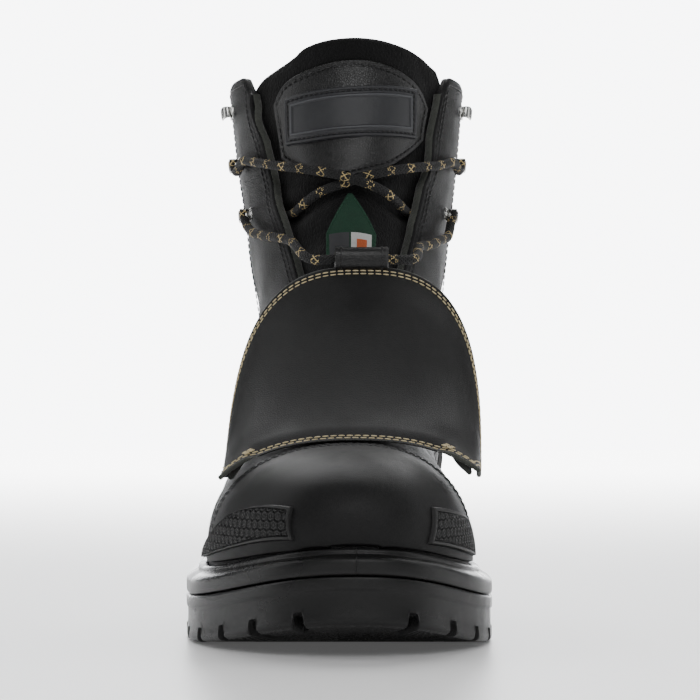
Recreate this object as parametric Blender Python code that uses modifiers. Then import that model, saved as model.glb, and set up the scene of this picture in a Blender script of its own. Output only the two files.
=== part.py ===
"""Metatarsal guard work boot, right foot, as separate solids in metres.

The toe points to -Y, the heel to +Y, +Z is up and +X is the inner (medial) side.
The origin is on the ground under the middle of the sole.
"""
import math

import bmesh
import bpy
import numpy as np
from mathutils import Matrix, Vector

# Driving sizes of the sole
SOLE_LENGTH = 0.312
BALL_WIDTH = 0.121
FORE_STACK = 0.029
HEEL_STACK = 0.044
TOE_SPRING = 0.0125
ARCH_RISE = 0.009
TOE_ROUND = 0.084
HEEL_ROUND = 0.046
WELT_HEIGHT = 0.011
SHOULDER_DROP = 0.0052
RIM_DEPTH = 0.007
RIM_SETBACK = 0.009
RIM_GAP = 0.0008
LIP_SETBACK = 0.0050
GROOVE_DEPTH = 0.0035
LUG_DEPTH = 0.0055
LUG_PITCH = 0.022
LUG_SLOT = 0.0042
SLOT_REACH = 0.013
TREAD_ROUND = 0.0024
TREAD_ROUND_RISE = 0.0026
WALL_STEP = 0.0006
WALL_STEP_LOW = 0.0046
WALL_STEP_HIGH = 0.0016
SHOULDER_ROUND = 0.0016
SHOULDER_RISE = 0.0010
LIP_ROUND = 0.0012
LIP_ROUND_DROP = 0.0009
CUTTER_SPARE = 0.004
GROOVE_END = 0.006
HEEL_EDGE_RISE = 0.003

# Driving sizes of the upper and what lies on it
UPPER_HEIGHT = 0.206
WALL = 0.0026
CAP_LEATHER = 0.0012
STAY_LEATHER = 0.0014
TONGUE_THICK = 0.0045
TONGUE_PUFF = 0.0030
PANEL_LEATHER = 0.0010
BADGE_THICK = 0.0012
BUMPER_THICK = 0.0018
INSOLE_THICK = 0.0035
INSOLE_SLACK = 0.0012
GUARD_LEATHER = 0.0022
GUARD_FELT = 0.0022
FELT_GAP = 0.0007
GUARD_HALF = 0.0505
GUARD_TOP = 0.1485
GUARD_TIP = 0.0635
KEEPER_WIDTH = 0.022
KEEPER_LEATHER = 0.0016
LACE_DIAMETER = 0.0040
HOOK_WIDTH = 0.0050
FIT_GAP = 0.0003

# How finely the surfaces are cut
SOLE_STATIONS = 36
SIDE_COLUMNS = 12
THROAT_COLUMN = 3

# Sole plan: station from the toe as a share of SOLE_LENGTH, and how far each side
# and the middle line lie from X = 0 as shares of BALL_WIDTH
PLAN_COLUMNS = ("station", "lateral", "medial", "middle")
PLAN_ROWS = (
    (0.00, 0.375, 0.455, 0.060),
    (0.10, 0.415, 0.472, 0.058),
    (0.20, 0.463, 0.492, 0.052),
    (0.29, 0.492, 0.500, 0.045),
    (0.37, 0.500, 0.488, 0.038),
    (0.46, 0.482, 0.450, 0.032),
    (0.56, 0.435, 0.402, 0.028),
    (0.66, 0.388, 0.385, 0.028),
    (0.78, 0.355, 0.395, 0.030),
    (0.90, 0.340, 0.400, 0.032),
    (1.00, 0.325, 0.390, 0.033),
)

# Last: one row for each section from the toe's tip over the foot and up the shaft.
# top_run is along SOLE_LENGTH, foot_run along the foot line's own length, rises are
# shares of UPPER_HEIGHT above the lip, widths are shares of BALL_WIDTH, belly is the
# height share of the widest place, fullness the section's superellipse power,
# throat the half angle in degrees that the facings leave open
LAST_COLUMNS = ("top_run", "top_rise", "foot_run", "back_rise", "lateral", "medial",
                "middle", "belly", "fullness", "throat")
LAST_ROWS = (
    (0.0298, 0.000, 0.003, 0.000, 0.00, 0.00, 0.055, 0.00, 2.3, 10.0),
    (0.0290, 0.040, 0.008, 0.000, 0.00, 0.00, 0.055, 0.02, 2.3, 10.0),
    (0.0350, 0.078, 0.020, 0.000, 0.10, 0.10, 0.055, 0.03, 2.3, 10.0),
    (0.0510, 0.118, 0.046, 0.000, 0.15, 0.15, 0.054, 0.03, 2.35, 10.5),
    (0.0800, 0.155, 0.086, 0.000, 0.20, 0.20, 0.053, 0.03, 2.4, 11.0),
    (0.1200, 0.188, 0.145, 0.000, 0.25, 0.25, 0.052, 0.03, 2.4, 12.0),
    (0.1750, 0.214, 0.222, 0.000, 0.30, 0.30, 0.050, 0.03, 2.3, 13.0),
    (0.2250, 0.246, 0.320, 0.000, 0.32, 0.32, 0.049, 0.05, 2.15, 14.0),
    (0.2700, 0.287, 0.445, 0.000, 0.33, 0.33, 0.047, 0.10, 2.05, 15.5),
    (0.3100, 0.333, 0.590, 0.000, 0.32, 0.33, 0.045, 0.24, 2.1, 17.5),
    (0.3450, 0.380, 0.740, 0.000, 0.30, 0.34, 0.043, 0.36, 2.05, 20.0),
    (0.3780, 0.429, 0.870, 0.000, 0.295, 0.355, 0.041, 0.44, 2.05, 23.0),
    (0.4050, 0.474, 0.955, 0.000, 0.288, 0.354, 0.040, 0.48, 2.05, 26.0),
    (0.4280, 0.517, 1.000, 0.000, 0.287, 0.352, 0.038, 0.50, 2.1, 29.5),
    (0.4500, 0.564, 1.007, 0.068, 0.290, 0.354, 0.037, 0.50, 2.1, 33.0),
    (0.4700, 0.612, 1.004, 0.155, 0.296, 0.360, 0.037, 0.50, 2.1, 36.5),
    (0.4890, 0.665, 0.991, 0.262, 0.304, 0.370, 0.037, 0.50, 2.1, 40.0),
    (0.5060, 0.718, 0.977, 0.379, 0.316, 0.384, 0.037, 0.50, 2.1, 44.0),
    (0.5190, 0.777, 0.970, 0.505, 0.332, 0.400, 0.037, 0.50, 2.1, 47.0),
    (0.5290, 0.836, 0.970, 0.641, 0.350, 0.418, 0.037, 0.50, 2.1, 49.5),
    (0.5370, 0.901, 0.976, 0.777, 0.366, 0.434, 0.037, 0.50, 2.1, 52.0),
    (0.5430, 0.962, 0.983, 0.908, 0.380, 0.448, 0.037, 0.50, 2.1, 54.0),
    (0.5480, 1.022, 0.985, 0.976, 0.384, 0.452, 0.037, 0.50, 2.1, 54.0),
    (0.5520, 1.075, 0.985, 1.030, 0.386, 0.454, 0.037, 0.50, 2.1, 54.0),
)
HEEL_ROW = 13
THROAT_ROW = 8
CAP_ROW = 6
BELLY_SHARE = 0.996
SPRING_END = 0.27
HEEL_EDGE_START = 0.955
LIP_CLIMB = (0.38, 0.70)
ARCH_START = (0.50, 0.60)
ARCH_END = (0.685, 0.705)
SLOTLESS_ARCH = (0.54, 0.72)
GROOVE_SPANS = ((0.150, 0.470), (0.775, 0.915))
GROOVE_SPACING = 0.9
GROOVE_SHARE = 0.8
FOOT_CLEAR = 0.0014
COUNTER_HEM = 1.0
COUNTER_LIFT = 0.0006
CAP_HEM = 5.0

# Line along which the heel counter's upper edge is cut, from the arch up to the back seam:
# station from the toe as a share of the sole's length, height as a share of the upper's height
COUNTER_CUT = ((0.575, 0.285), (0.965, 0.515))

# Places on the upper in last rows and degrees from the ridge, lateral negative
HOOK_SPOTS = ((20.3, 76.0), (19.0, 73.0), (17.6, 68.0))
# Hook strip's side view as shares of its length: reach away from the throat, lift off the facing
HOOK_LENGTH = 0.0080
HOOK_PROFILE = ((-0.35, 0.0), (0.60, 0.0), (0.60, 0.10), (0.02, 0.12), (-0.06, 0.20), (-0.06, 0.46),
                (0.02, 0.56), (0.50, 0.56), (0.56, 0.66), (0.0, 0.66), (-0.18, 0.56), (-0.20, 0.14),
                (-0.35, 0.10))
PANEL_ANGLE = 40.0
BADGE_ANGLE = 33.0
TAG_ANGLE = 14.0
PATCH_GAP = 0.0006
GUARD_ROW = 6.0
GUARD_SWEEP = 0.0
GUARD_ANGLE = 54.0
GUARD_SEAT = 0.0002
GUARD_FLARE_LATERAL = 0.0034
GUARD_FLARE_MEDIAL = 0.0095
GUARD_SWELL = 1.35
GUARD_RUN = 0.405
GUARD_REAR_RUN = 0.275
GUARD_POWER = 2.8
GUARD_MIDDLE = 0.050
GUARD_LEAN = 0.0036
KEEPER_SLACK = 0.0010

# Corners of each bumper on the last (row, degrees): front low, rear low, rear high, front high
BUMPERS = (
    ("bumper_lateral", ((2.0, -78.0), (5.9, -86.0), (4.9, -68.0), (2.9, -44.0))),
    ("bumper_medial", ((2.9, 84.0), (6.0, 86.0), (5.7, 70.0), (4.0, 59.0))),
)

# Lace routes as last row, degrees from the ridge, and lift in lace diameters
CROSS_DOWN = ((19.0, -66.0, 1.3), (18.4, -46.0, 1.35), (17.6, -20.0, 1.45), (17.1, 0.0, 1.55),
              (16.8, 16.0, 1.35), (16.7, 33.0, 0.75))
CROSS_UP = ((19.0, 66.0, 1.3), (18.3, 46.0, 1.3), (17.6, 20.0, 0.95), (17.1, 0.0, 0.85),
            (16.8, -16.0, 0.85), (16.75, -25.0, 0.70))
KEEPER_RUN_LATERAL = ((17.2, -62.0, 1.4), (16.4, -48.0, 1.7), (15.4, -30.0, 2.2))
KEEPER_RUN_MEDIAL = ((15.4, 38.0, 2.2), (16.4, 54.0, 1.7), (17.2, 64.0, 1.4))


def columns(rows, names):
    """Turn a table's rows into one array for each named column."""
    values = np.array(rows, dtype=float)
    return {name: values[:, index] for index, name in enumerate(names)}


def flowing(knots, values, at):
    """Smooth curve through the values: cubic pieces with the slopes of their neighbours."""
    slopes = np.gradient(values, knots)
    at = np.asarray(at, dtype=float)
    left = np.clip(np.searchsorted(knots, at, side="right") - 1, 0, len(knots) - 2)
    span = knots[left + 1] - knots[left]
    t = (at - knots[left]) / span
    start = (2 * t ** 3 - 3 * t ** 2 + 1) * values[left] + (t ** 3 - 2 * t ** 2 + t) * span * slopes[left]
    end = (3 * t ** 2 - 2 * t ** 3) * values[left + 1] + (t ** 3 - t ** 2) * span * slopes[left + 1]
    return start + end


def ramp(value, low, high):
    """Zero up to low, one from high on, with an S curve between."""
    t = np.clip((np.asarray(value, dtype=float) - low) / (high - low), 0.0, 1.0)
    return t * t * (3.0 - 2.0 * t)


PLAN = columns(PLAN_ROWS, PLAN_COLUMNS)
LAST = columns(LAST_ROWS, LAST_COLUMNS)
ROW_NUMBERS = np.arange(len(LAST_ROWS), dtype=float)


def station_of(y):
    """Station from the toe as a share of the sole's length."""
    return y / SOLE_LENGTH + 0.5


def rounding(reach, length, power):
    """Share of the full width near a round end, reach away from its tip."""
    t = np.clip(reach / length, 0.0, 1.0)
    return (1.0 - (1.0 - t) ** power) ** (1.0 / power)


def outline(share, setback):
    """Plan of the sole, set back inwards: lateral x, medial x and y at a share of its own length."""
    share = np.asarray(share, dtype=float)
    own_length = SOLE_LENGTH - 2.0 * setback
    y = -0.5 * SOLE_LENGTH + setback + share * own_length
    station = np.clip(station_of(y), 0.0, 1.0)
    middle = BALL_WIDTH * flowing(PLAN["station"], PLAN["middle"], station)
    lateral = BALL_WIDTH * flowing(PLAN["station"], PLAN["lateral"], station) - setback
    medial = BALL_WIDTH * flowing(PLAN["station"], PLAN["medial"], station) - setback
    toe = rounding(share * own_length, TOE_ROUND - setback, 2.3)
    heel = rounding((1.0 - share) * own_length, HEEL_ROUND - setback, 2.1)
    round_off = toe * heel
    return middle - (lateral + middle) * round_off, middle + (medial - middle) * round_off, y


def spring_line(station):
    """Height of the tread above the ground where the toe springs up and the heel's edge is rolled."""
    toe = TOE_SPRING * np.clip(1.0 - np.asarray(station, dtype=float) / SPRING_END, 0.0, 1.0) ** 2
    past = (station - HEEL_EDGE_START) / (1.0 - HEEL_EDGE_START)
    heel = HEEL_EDGE_RISE * np.clip(past, 0.0, 1.0) ** 2
    return toe + heel


def lip_line(station):
    """Height of the sole's lip round the upper."""
    toe = TOE_SPRING * np.clip(1.0 - np.asarray(station, dtype=float) / SPRING_END, 0.0, 1.0) ** 2
    return FORE_STACK + toe + (HEEL_STACK - FORE_STACK) * ramp(station, *LIP_CLIMB)


def tread_line(station):
    """Underside of the outsole with its arch between the forefoot and the heel's breast."""
    arch = ramp(station, *ARCH_START) * (1.0 - ramp(station, *ARCH_END))
    return spring_line(station) + ARCH_RISE * arch


def last_row(row):
    """All section values of the last at one place along its rows."""
    return {name: flowing(ROW_NUMBERS, LAST[name], row) for name in LAST_COLUMNS}


def wide_side(foot, table):
    """The wider of the foot line's and the table's half width, blended softly."""
    return (np.maximum(foot, 1e-6) ** 10 + table ** 10) ** 0.1


def section(row):
    """Frame of one section: ends, middle line, half widths, and the angle where it meets the foot line."""
    values = last_row(row)
    top_y = (values["top_run"] - 0.5) * SOLE_LENGTH
    top_z = lip_line(values["top_run"]) + FOOT_CLEAR + values["top_rise"] * UPPER_HEIGHT
    foot_share = np.clip(values["foot_run"], 0.0, 1.0)
    foot_lateral, foot_medial, foot_y = outline(foot_share, RIM_SETBACK)
    past = np.maximum(values["foot_run"], 1.0) - 1.0
    drawn_in = np.where(np.asarray(row) > HEEL_ROW, values["foot_run"] - foot_share - past, 0.0)
    back_y = foot_y + (past + drawn_in) * (SOLE_LENGTH - 2.0 * RIM_SETBACK)
    back_z = lip_line(station_of(np.minimum(back_y, 0.5 * SOLE_LENGTH))) + FOOT_CLEAR
    back_z = back_z + np.maximum(values["back_rise"], 0.0) * UPPER_HEIGHT
    middle = values["middle"] * BALL_WIDTH
    closed = np.asarray(row) >= HEEL_ROW
    foot_half = {
        -1: np.where(closed, 0.0, middle - foot_lateral),
        1: np.where(closed, 0.0, foot_medial - middle),
    }
    table_half = {
        -1: values["lateral"] * BALL_WIDTH + middle,
        1: values["medial"] * BALL_WIDTH - middle,
    }
    power = 2.0 / values["fullness"]
    frame = {"top": (top_y, top_z), "back": (back_y, back_z), "middle": middle,
             "belly": values["belly"], "power": power, "throat": values["throat"]}
    tuck = 1.0 - (1.0 - BELLY_SHARE) * ramp(row, 0.0, 2.0)
    for side in (-1, 1):
        half = wide_side(foot_half[side] / tuck, table_half[side])
        ratio = np.clip(foot_half[side] / half, 0.0, tuck)
        frame[side] = (half, np.pi - np.arcsin(ratio ** (1.0 / power)))
    return frame


def last_point(row, angle):
    """Point of the last's outer skin: a section row, and an angle in degrees from the ridge.

    The section is a superellipse in the plane through the ridge point and the foot or back
    point; below its widest place it is stretched so that it ends on the foot line.
    """
    row, angle = np.broadcast_arrays(np.asarray(row, dtype=float), np.asarray(angle, dtype=float))
    frame = section(row)
    turn = np.radians(np.abs(angle))
    medial = angle >= 0.0
    half = np.where(medial, frame[1][0], frame[-1][0])
    foot_turn = np.where(medial, frame[1][1], frame[-1][1])
    turn = np.minimum(turn, foot_turn)
    belly = frame["belly"]
    power = frame["power"]
    across = half * np.clip(np.sin(turn), 0.0, 1.0) ** power
    upward = belly + (1.0 - belly) * np.clip(np.cos(turn), 0.0, 1.0) ** power
    low = belly / np.maximum(np.abs(np.cos(foot_turn)), 1e-4) ** power
    downward = belly - low * np.clip(-np.cos(turn), 0.0, 1.0) ** power
    height = np.where(turn <= 0.5 * np.pi, upward, downward)
    top_y, top_z = frame["top"]
    back_y, back_z = frame["back"]
    x = frame["middle"] + np.where(medial, across, -across)
    y = back_y + (top_y - back_y) * height
    z = back_z + (top_z - back_z) * height
    return np.stack([x, y, z], axis=-1)


def foot_angle(row, side):
    """Angle in degrees where a section meets the foot line or the back seam."""
    return np.degrees(section(row)[side][1])


def last_normal(row, angle):
    """Outward direction of the last's skin, from small steps along both of its parameters.

    It turns level at the foot line, so that an overlay's edge stays above the sole's lip.
    """
    step_row = 0.02
    step_turn = 0.5
    row, angle = np.broadcast_arrays(np.asarray(row, dtype=float), np.asarray(angle, dtype=float))
    side = np.where(angle >= 0.0, 1, -1)
    limit = np.where(side > 0, foot_angle(row, 1), foot_angle(row, -1)) - step_turn
    inner = np.clip(np.abs(angle), 0.0, limit) * side
    along = last_point(np.minimum(row + step_row, ROW_NUMBERS[-1]), inner)
    along = along - last_point(np.maximum(row - step_row, 0.0), inner)
    across = last_point(row, inner + step_turn) - last_point(row, inner - step_turn)
    normal = np.cross(across, along)
    normal = normal / np.maximum(np.linalg.norm(normal, axis=-1, keepdims=True), 1e-12)
    near_foot = ramp(np.abs(angle), limit - 14.0, limit) * (1.0 - ramp(row, HEEL_ROW, HEEL_ROW + 1.0))
    normal[..., 2] *= 1.0 - near_foot
    return normal / np.maximum(np.linalg.norm(normal, axis=-1, keepdims=True), 1e-12)


def skin(row, angle, lift):
    """Point that lies lift above the last's outer skin."""
    lift = np.asarray(lift, dtype=float)
    return last_point(row, angle) + last_normal(row, angle) * lift[..., None]


def column_angles(row, side, hem=0.0):
    """Angles of the upper's columns on one side: the throat's columns, then those down to the foot line.

    An overlay keeps its hem, a few degrees, above the foot line.
    """
    throat = last_row(row)["throat"]
    foot = foot_angle(row, side)
    inner = throat * np.arange(THROAT_COLUMN + 1) / THROAT_COLUMN
    outer_count = SIDE_COLUMNS - THROAT_COLUMN
    outer = throat + (foot - throat) * np.arange(1, outer_count + 1) / outer_count
    if row < HEEL_ROW:
        outer[-1] -= hem
    return side * np.concatenate([inner, outer])


UPPER_ROWS = np.array([0.0, 0.3, 0.6, 1.0, 1.6, 2.2, 3.0, 4.0, 5.0, 6.0, 7.0, 7.5, 8.0, 8.5, 9.0,
                       9.5, 10.0, 10.5, 11.0, 11.6, 12.1, 12.5, 12.8, 12.95, 13.0, 14.0, 15.0,
                       16.0, 17.0, 18.0, 19.0, 20.0, 21.0])


def make_material(name, colour, roughness, metallic=0.0):
    """A plain material with the piece's colour, roughness and metal share."""
    material = bpy.data.materials.new(name)
    material.use_nodes = True
    shader = material.node_tree.nodes["Principled BSDF"]
    shader.inputs["Base Color"].default_value = (*colour, 1.0)
    shader.inputs["Roughness"].default_value = roughness
    shader.inputs["Metallic"].default_value = metallic
    return material


def link_mesh(name, mesh, material, smooth=True, angle=40.0):
    """Put a mesh into the boot's collection as one named object."""
    piece = bpy.data.objects.new(name, mesh)
    BOOT.objects.link(piece)
    mesh.materials.append(material)
    if smooth:
        mesh.shade_smooth()
        mesh.set_sharp_from_angle(angle=math.radians(angle))
    return piece


def mesh_from(name, points, faces):
    """A mesh from points and faces, its doubles joined and its faces all one way round."""
    mesh = bpy.data.meshes.new(name)
    mesh.from_pydata([tuple(map(float, p)) for p in points], [], faces)
    shape = bmesh.new()
    shape.from_mesh(mesh)
    bmesh.ops.remove_doubles(shape, verts=shape.verts, dist=1e-6)
    spare = [vert for vert in shape.verts if not vert.link_faces]
    bmesh.ops.delete(shape, geom=spare, context="VERTS")
    bmesh.ops.recalc_face_normals(shape, faces=shape.faces)
    shape.to_mesh(mesh)
    shape.free()
    mesh.update()
    return mesh


def face_outwards(mesh, inside):
    """Turn an open sheet's faces so that they look away from an inside point."""
    total = 0.0
    for face in mesh.polygons:
        total += face.area * face.normal.dot(face.center - Vector(inside))
    if total < 0.0:
        mesh.flip_normals()
    return mesh


def grid_faces(row_count, column_count, keep=None, ridge=None):
    """Triangles of a grid of points stored row by row; the split turns over at the ridge column."""
    if ridge is None:
        ridge = (column_count - 1) // 2
    faces = []
    for row in range(row_count - 1):
        for column in range(column_count - 1):
            if keep is None or keep(row, column):
                a = row * column_count + column
                b, c, d = a + 1, a + column_count + 1, a + column_count
                if column < ridge:
                    faces += [(a, b, c), (a, c, d)]
                else:
                    faces += [(a, b, d), (b, c, d)]
    return faces


def thicken(piece, thickness, outwards):
    """Give an open sheet its wall, growing to one side."""
    wall = piece.modifiers.new("wall", "SOLIDIFY")
    wall.thickness = thickness
    wall.offset = 1.0 if outwards else -1.0
    wall.use_even_offset = False
    wall.use_rim = True
    return wall


def ring_points(setback, height, stations):
    """One closed ring of the sole: lateral side from toe to heel, then medial side back."""
    lateral, medial, y = outline(stations, setback)
    z = height(station_of(y))
    down = np.stack([lateral, y, z], axis=1)
    back = np.stack([medial, y, z], axis=1)[::-1][1:-1]
    return np.concatenate([down, back])


def ladder_faces(first, count, upwards):
    """Cap of a ring: quads between the lateral and the medial points of one station."""
    ring = 2 * (count - 1)
    faces = []
    for i in range(count - 1):
        a, b = first + i, first + i + 1
        c = first + (ring - i - 1) % ring
        d = first + (ring - i) % ring
        loop = [a, b, c, d]
        loop = [p for n, p in enumerate(loop) if p not in loop[:n]]
        faces.append(tuple(loop if upwards else loop[::-1]))
    return faces


def sole_body(name, levels, material):
    """Closed body through rings of the sole's plan; levels hold each ring's setback and height line."""
    turn = np.linspace(0.0, math.pi, SOLE_STATIONS)
    stations = 0.5 - 0.5 * np.cos(turn)
    rings = [ring_points(setback, height, stations) for setback, height in levels]
    ring = len(rings[0])
    faces = []
    for level in range(len(rings) - 1):
        for i in range(ring):
            j = (i + 1) % ring
            faces.append((level * ring + i, level * ring + j, (level + 1) * ring + j, (level + 1) * ring + i))
    faces += ladder_faces(0, SOLE_STATIONS, False)
    faces += ladder_faces((len(rings) - 1) * ring, SOLE_STATIONS, True)
    return link_mesh(name, mesh_from(name, np.concatenate(rings), faces), material, angle=35.0)


def box_cutter(name, boxes):
    """One cutter made of separate boxes; each has a middle, half sizes and a turn about Z."""
    shape = bmesh.new()
    for middle, half, turn in boxes:
        place = Matrix.Translation(middle) @ Matrix.Rotation(turn, 4, "Z") @ Matrix.Diagonal((*half, 1.0))
        bmesh.ops.create_cube(shape, size=2.0, matrix=place)
    mesh = bpy.data.meshes.new(name)
    shape.to_mesh(mesh)
    shape.free()
    cutter = bpy.data.objects.new(name, mesh)
    CUTTERS.objects.link(cutter)
    cutter.hide_render = True
    cutter.display_type = "WIRE"
    return cutter


def cut(piece, cutter):
    """Take a cutter's shape out of a piece."""
    step = piece.modifiers.new(cutter.name, "BOOLEAN")
    step.operation = "DIFFERENCE"
    step.solver = "EXACT"
    step.object = cutter


def edge_slots():
    """Slots between the lugs round the edge, one each LUG_PITCH along the outline, none in the arch."""
    fine = 0.5 - 0.5 * np.cos(np.linspace(0.0, math.pi, 400))
    lateral, medial, y = outline(fine, 0.0)
    boxes = []
    for x in (lateral, medial):
        run = np.concatenate([[0.0], np.cumsum(np.hypot(np.diff(x), np.diff(y)))])
        for along in np.arange(LUG_PITCH, run[-1] - 0.5 * LUG_PITCH, LUG_PITCH):
            at = int(np.argmin(np.abs(run - along)))
            if SLOTLESS_ARCH[0] < station_of(y[at]) < SLOTLESS_ARCH[1]:
                continue
            step_x = x[at + 1] - x[at - 1]
            step_y = y[at + 1] - y[at - 1]
            turn = math.atan2(step_y, step_x)
            half = (0.5 * LUG_SLOT, SLOT_REACH, 0.5 * LUG_DEPTH + CUTTER_SPARE)
            ground = float(tread_line(station_of(y[at])))
            middle = (x[at], y[at], ground + LUG_DEPTH - half[2])
            boxes.append((middle, half, turn))
    return boxes


def cross_grooves():
    """Grooves across the middle of the forefoot and the heel."""
    boxes = []
    for first, last in GROOVE_SPANS:
        count = int(round((last - first) * SOLE_LENGTH / (GROOVE_SPACING * LUG_PITCH)))
        for station in np.linspace(first, last, count):
            y = (station - 0.5) * SOLE_LENGTH
            lateral, medial, _ = outline(station, 0.0)
            reach = 0.5 * (medial - lateral) - SLOT_REACH - GROOVE_END
            middle_x = 0.5 * (medial + lateral)
            half = (float(reach), 0.5 * LUG_SLOT, 0.5 * LUG_DEPTH + CUTTER_SPARE)
            ground = float(tread_line(station))
            boxes.append(((float(middle_x), float(y), ground + GROOVE_SHARE * LUG_DEPTH - half[2]), half, 0.0))
    return boxes


def make_sole():
    """Outsole with its lugs, the welt with its rim, and the insole."""
    outsole = sole_body("outsole", (
        (TREAD_ROUND, tread_line),
        (0.0, lambda s: tread_line(s) + TREAD_ROUND_RISE),
        (WALL_STEP, lambda s: lip_line(s) - WELT_HEIGHT - WALL_STEP_LOW - WALL_STEP_HIGH),
        (0.0, lambda s: lip_line(s) - WELT_HEIGHT - WALL_STEP_LOW),
        (0.0, lambda s: lip_line(s) - WELT_HEIGHT - WALL_STEP_HIGH),
        (GROOVE_DEPTH, lambda s: lip_line(s) - WELT_HEIGHT - 0.5 * FIT_GAP),
    ), RUBBER)
    cut(outsole, box_cutter("edge_slots", edge_slots()))
    cut(outsole, box_cutter("cross_grooves", cross_grooves()))
    sole_body("midsole", (
        (GROOVE_DEPTH, lambda s: lip_line(s) - WELT_HEIGHT + 0.5 * FIT_GAP),
        (WALL_STEP, lambda s: lip_line(s) - WELT_HEIGHT + SHOULDER_RISE + 0.5 * FIT_GAP),
        (0.0, lambda s: lip_line(s) - SHOULDER_DROP),
        (SHOULDER_ROUND, lambda s: lip_line(s) - SHOULDER_DROP + SHOULDER_RISE),
        (LIP_SETBACK - LIP_ROUND, lambda s: lip_line(s) - LIP_ROUND_DROP),
        (LIP_SETBACK, lip_line),
        (RIM_SETBACK - RIM_GAP, lip_line),
        (RIM_SETBACK - RIM_GAP, lambda s: lip_line(s) - RIM_DEPTH),
    ), MIDSOLE_RUBBER)
    seat = RIM_SETBACK + WALL + INSOLE_SLACK
    sole_body("insole", (
        (seat, lambda s: lip_line(s) - RIM_DEPTH + FIT_GAP),
        (seat, lambda s: lip_line(s) - RIM_DEPTH + FIT_GAP + 0.7 * INSOLE_THICK),
        (seat + 0.0008, lambda s: lip_line(s) - RIM_DEPTH + FIT_GAP + INSOLE_THICK),
    ), FOOTBED)


def side_grid(rows, lift, first_column, last_column, hem=0.0):
    """Points of both sides of the last on the upper's own columns, lateral foot to medial foot."""
    points = []
    for row in rows:
        lateral = column_angles(row, -1, hem)[first_column:last_column + 1][::-1]
        medial = column_angles(row, 1, hem)[first_column:last_column + 1]
        if first_column == 0:
            medial = medial[1:]
        angles = np.concatenate([lateral, medial])
        line = skin(row, angles, np.full(len(angles), lift))
        if row >= HEEL_ROW and last_column == SIDE_COLUMNS:
            seam = 0.5 * (line[0] + line[-1])
            line[0] = seam
            line[-1] = seam
        points.append(line)
    return np.array(points)


def make_upper():
    """The hollow upper: skin from the toe to the collar, open throat, and a skirt inside the rim."""
    grid = side_grid(UPPER_ROWS, 0.0, 0, SIDE_COLUMNS)
    row_count, column_count = grid.shape[:2]
    middle = SIDE_COLUMNS

    def keep(row, column):
        in_throat = middle - THROAT_COLUMN <= column < middle + THROAT_COLUMN
        return not (in_throat and UPPER_ROWS[row] >= THROAT_ROW)

    points = list(grid.reshape(-1, 3))
    faces = grid_faces(row_count, column_count, keep)
    heel = int(np.argmax(UPPER_ROWS >= HEEL_ROW))
    lateral_edge = [row * column_count for row in range(heel, 0, -1)]
    front_edge = list(range(column_count))
    medial_edge = [row * column_count + column_count - 1 for row in range(1, heel + 1)]
    edge = lateral_edge + front_edge + medial_edge
    first = len(points)
    for index in edge:
        x, y, _ = points[index]
        points.append(np.array([x, y, lip_line(station_of(y)) - RIM_DEPTH + 2.0 * FIT_GAP]))
    for i in range(len(edge) - 1):
        faces.append((edge[i], edge[i + 1], first + i + 1, first + i))
    mesh = face_outwards(mesh_from("upper", points, faces), (0.0, 0.03, 0.06))
    upper = link_mesh("upper", mesh, LEATHER)
    thicken(upper, WALL, False)
    return upper


def overlay(name, rows, first_column, last_column, lift, thickness, material, side=0, hem=0.0,
            trim=None):
    """A leather overlay on the upper's own columns; side picks lateral, medial or both.

    A trim line, of two station and height pairs, cuts off what lies above it.
    """
    grid = side_grid(rows, lift, first_column, last_column, hem)
    count = last_column - first_column + 1
    if side < 0:
        grid = grid[:, :count]
    if side > 0:
        grid = grid[:, -count:]
    row_count, column_count = grid.shape[:2]
    ridge = {-1: column_count, 0: None, 1: 0}[side]
    cells = grid_faces(row_count, column_count, ridge=ridge)
    if side == 0 and first_column > 0:
        cells = grid_faces(row_count, column_count, lambda row, column: column != count - 1)
    mesh = face_outwards(mesh_from(name, grid.reshape(-1, 3), cells), (0.0, 0.05, 0.08))
    if trim is not None:
        front, back = [Vector((0.0, (share - 0.5) * SOLE_LENGTH, height * UPPER_HEIGHT))
                       for share, height in trim]
        above = Vector((1.0, 0.0, 0.0)).cross(back - front)
        shape = bmesh.new()
        shape.from_mesh(mesh)
        whole = list(shape.verts) + list(shape.edges) + list(shape.faces)
        bmesh.ops.bisect_plane(shape, geom=whole, plane_co=front, plane_no=above, clear_outer=True)
        bmesh.ops.triangulate(shape, faces=shape.faces)
        shape.to_mesh(mesh)
        shape.free()
    piece = link_mesh(name, mesh, material)
    thicken(piece, thickness, True)
    return piece


def make_overlays():
    """Toe cap, heel counter, backstay and the two doubled facings."""
    cap_rows = UPPER_ROWS[(UPPER_ROWS > 0.0) & (UPPER_ROWS <= CAP_ROW)]
    overlay("toe_cap", cap_rows, 0, SIDE_COLUMNS, FIT_GAP, CAP_LEATHER, CAP_LEATHER_LOOK, hem=CAP_HEM)
    counter_rows = UPPER_ROWS[(UPPER_ROWS >= 10) & (UPPER_ROWS <= 17)]
    overlay("heel_counter", counter_rows, 6, SIDE_COLUMNS, COUNTER_LIFT, STAY_LEATHER, LEATHER,
            hem=COUNTER_HEM, trim=COUNTER_CUT)
    stay_rows = UPPER_ROWS[UPPER_ROWS >= 16]
    stay_rows = np.concatenate([[16.5], stay_rows[1:]])
    overlay("backstay", stay_rows, SIDE_COLUMNS - 1, SIDE_COLUMNS, FIT_GAP, STAY_LEATHER, LEATHER)
    facing_rows = UPPER_ROWS[UPPER_ROWS >= 12]
    for name, side in (("eyestay_lateral", -1), ("eyestay_medial", 1)):
        overlay(name, facing_rows, THROAT_COLUMN, THROAT_COLUMN + 3, FIT_GAP, STAY_LEATHER, LEATHER, side)


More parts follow.
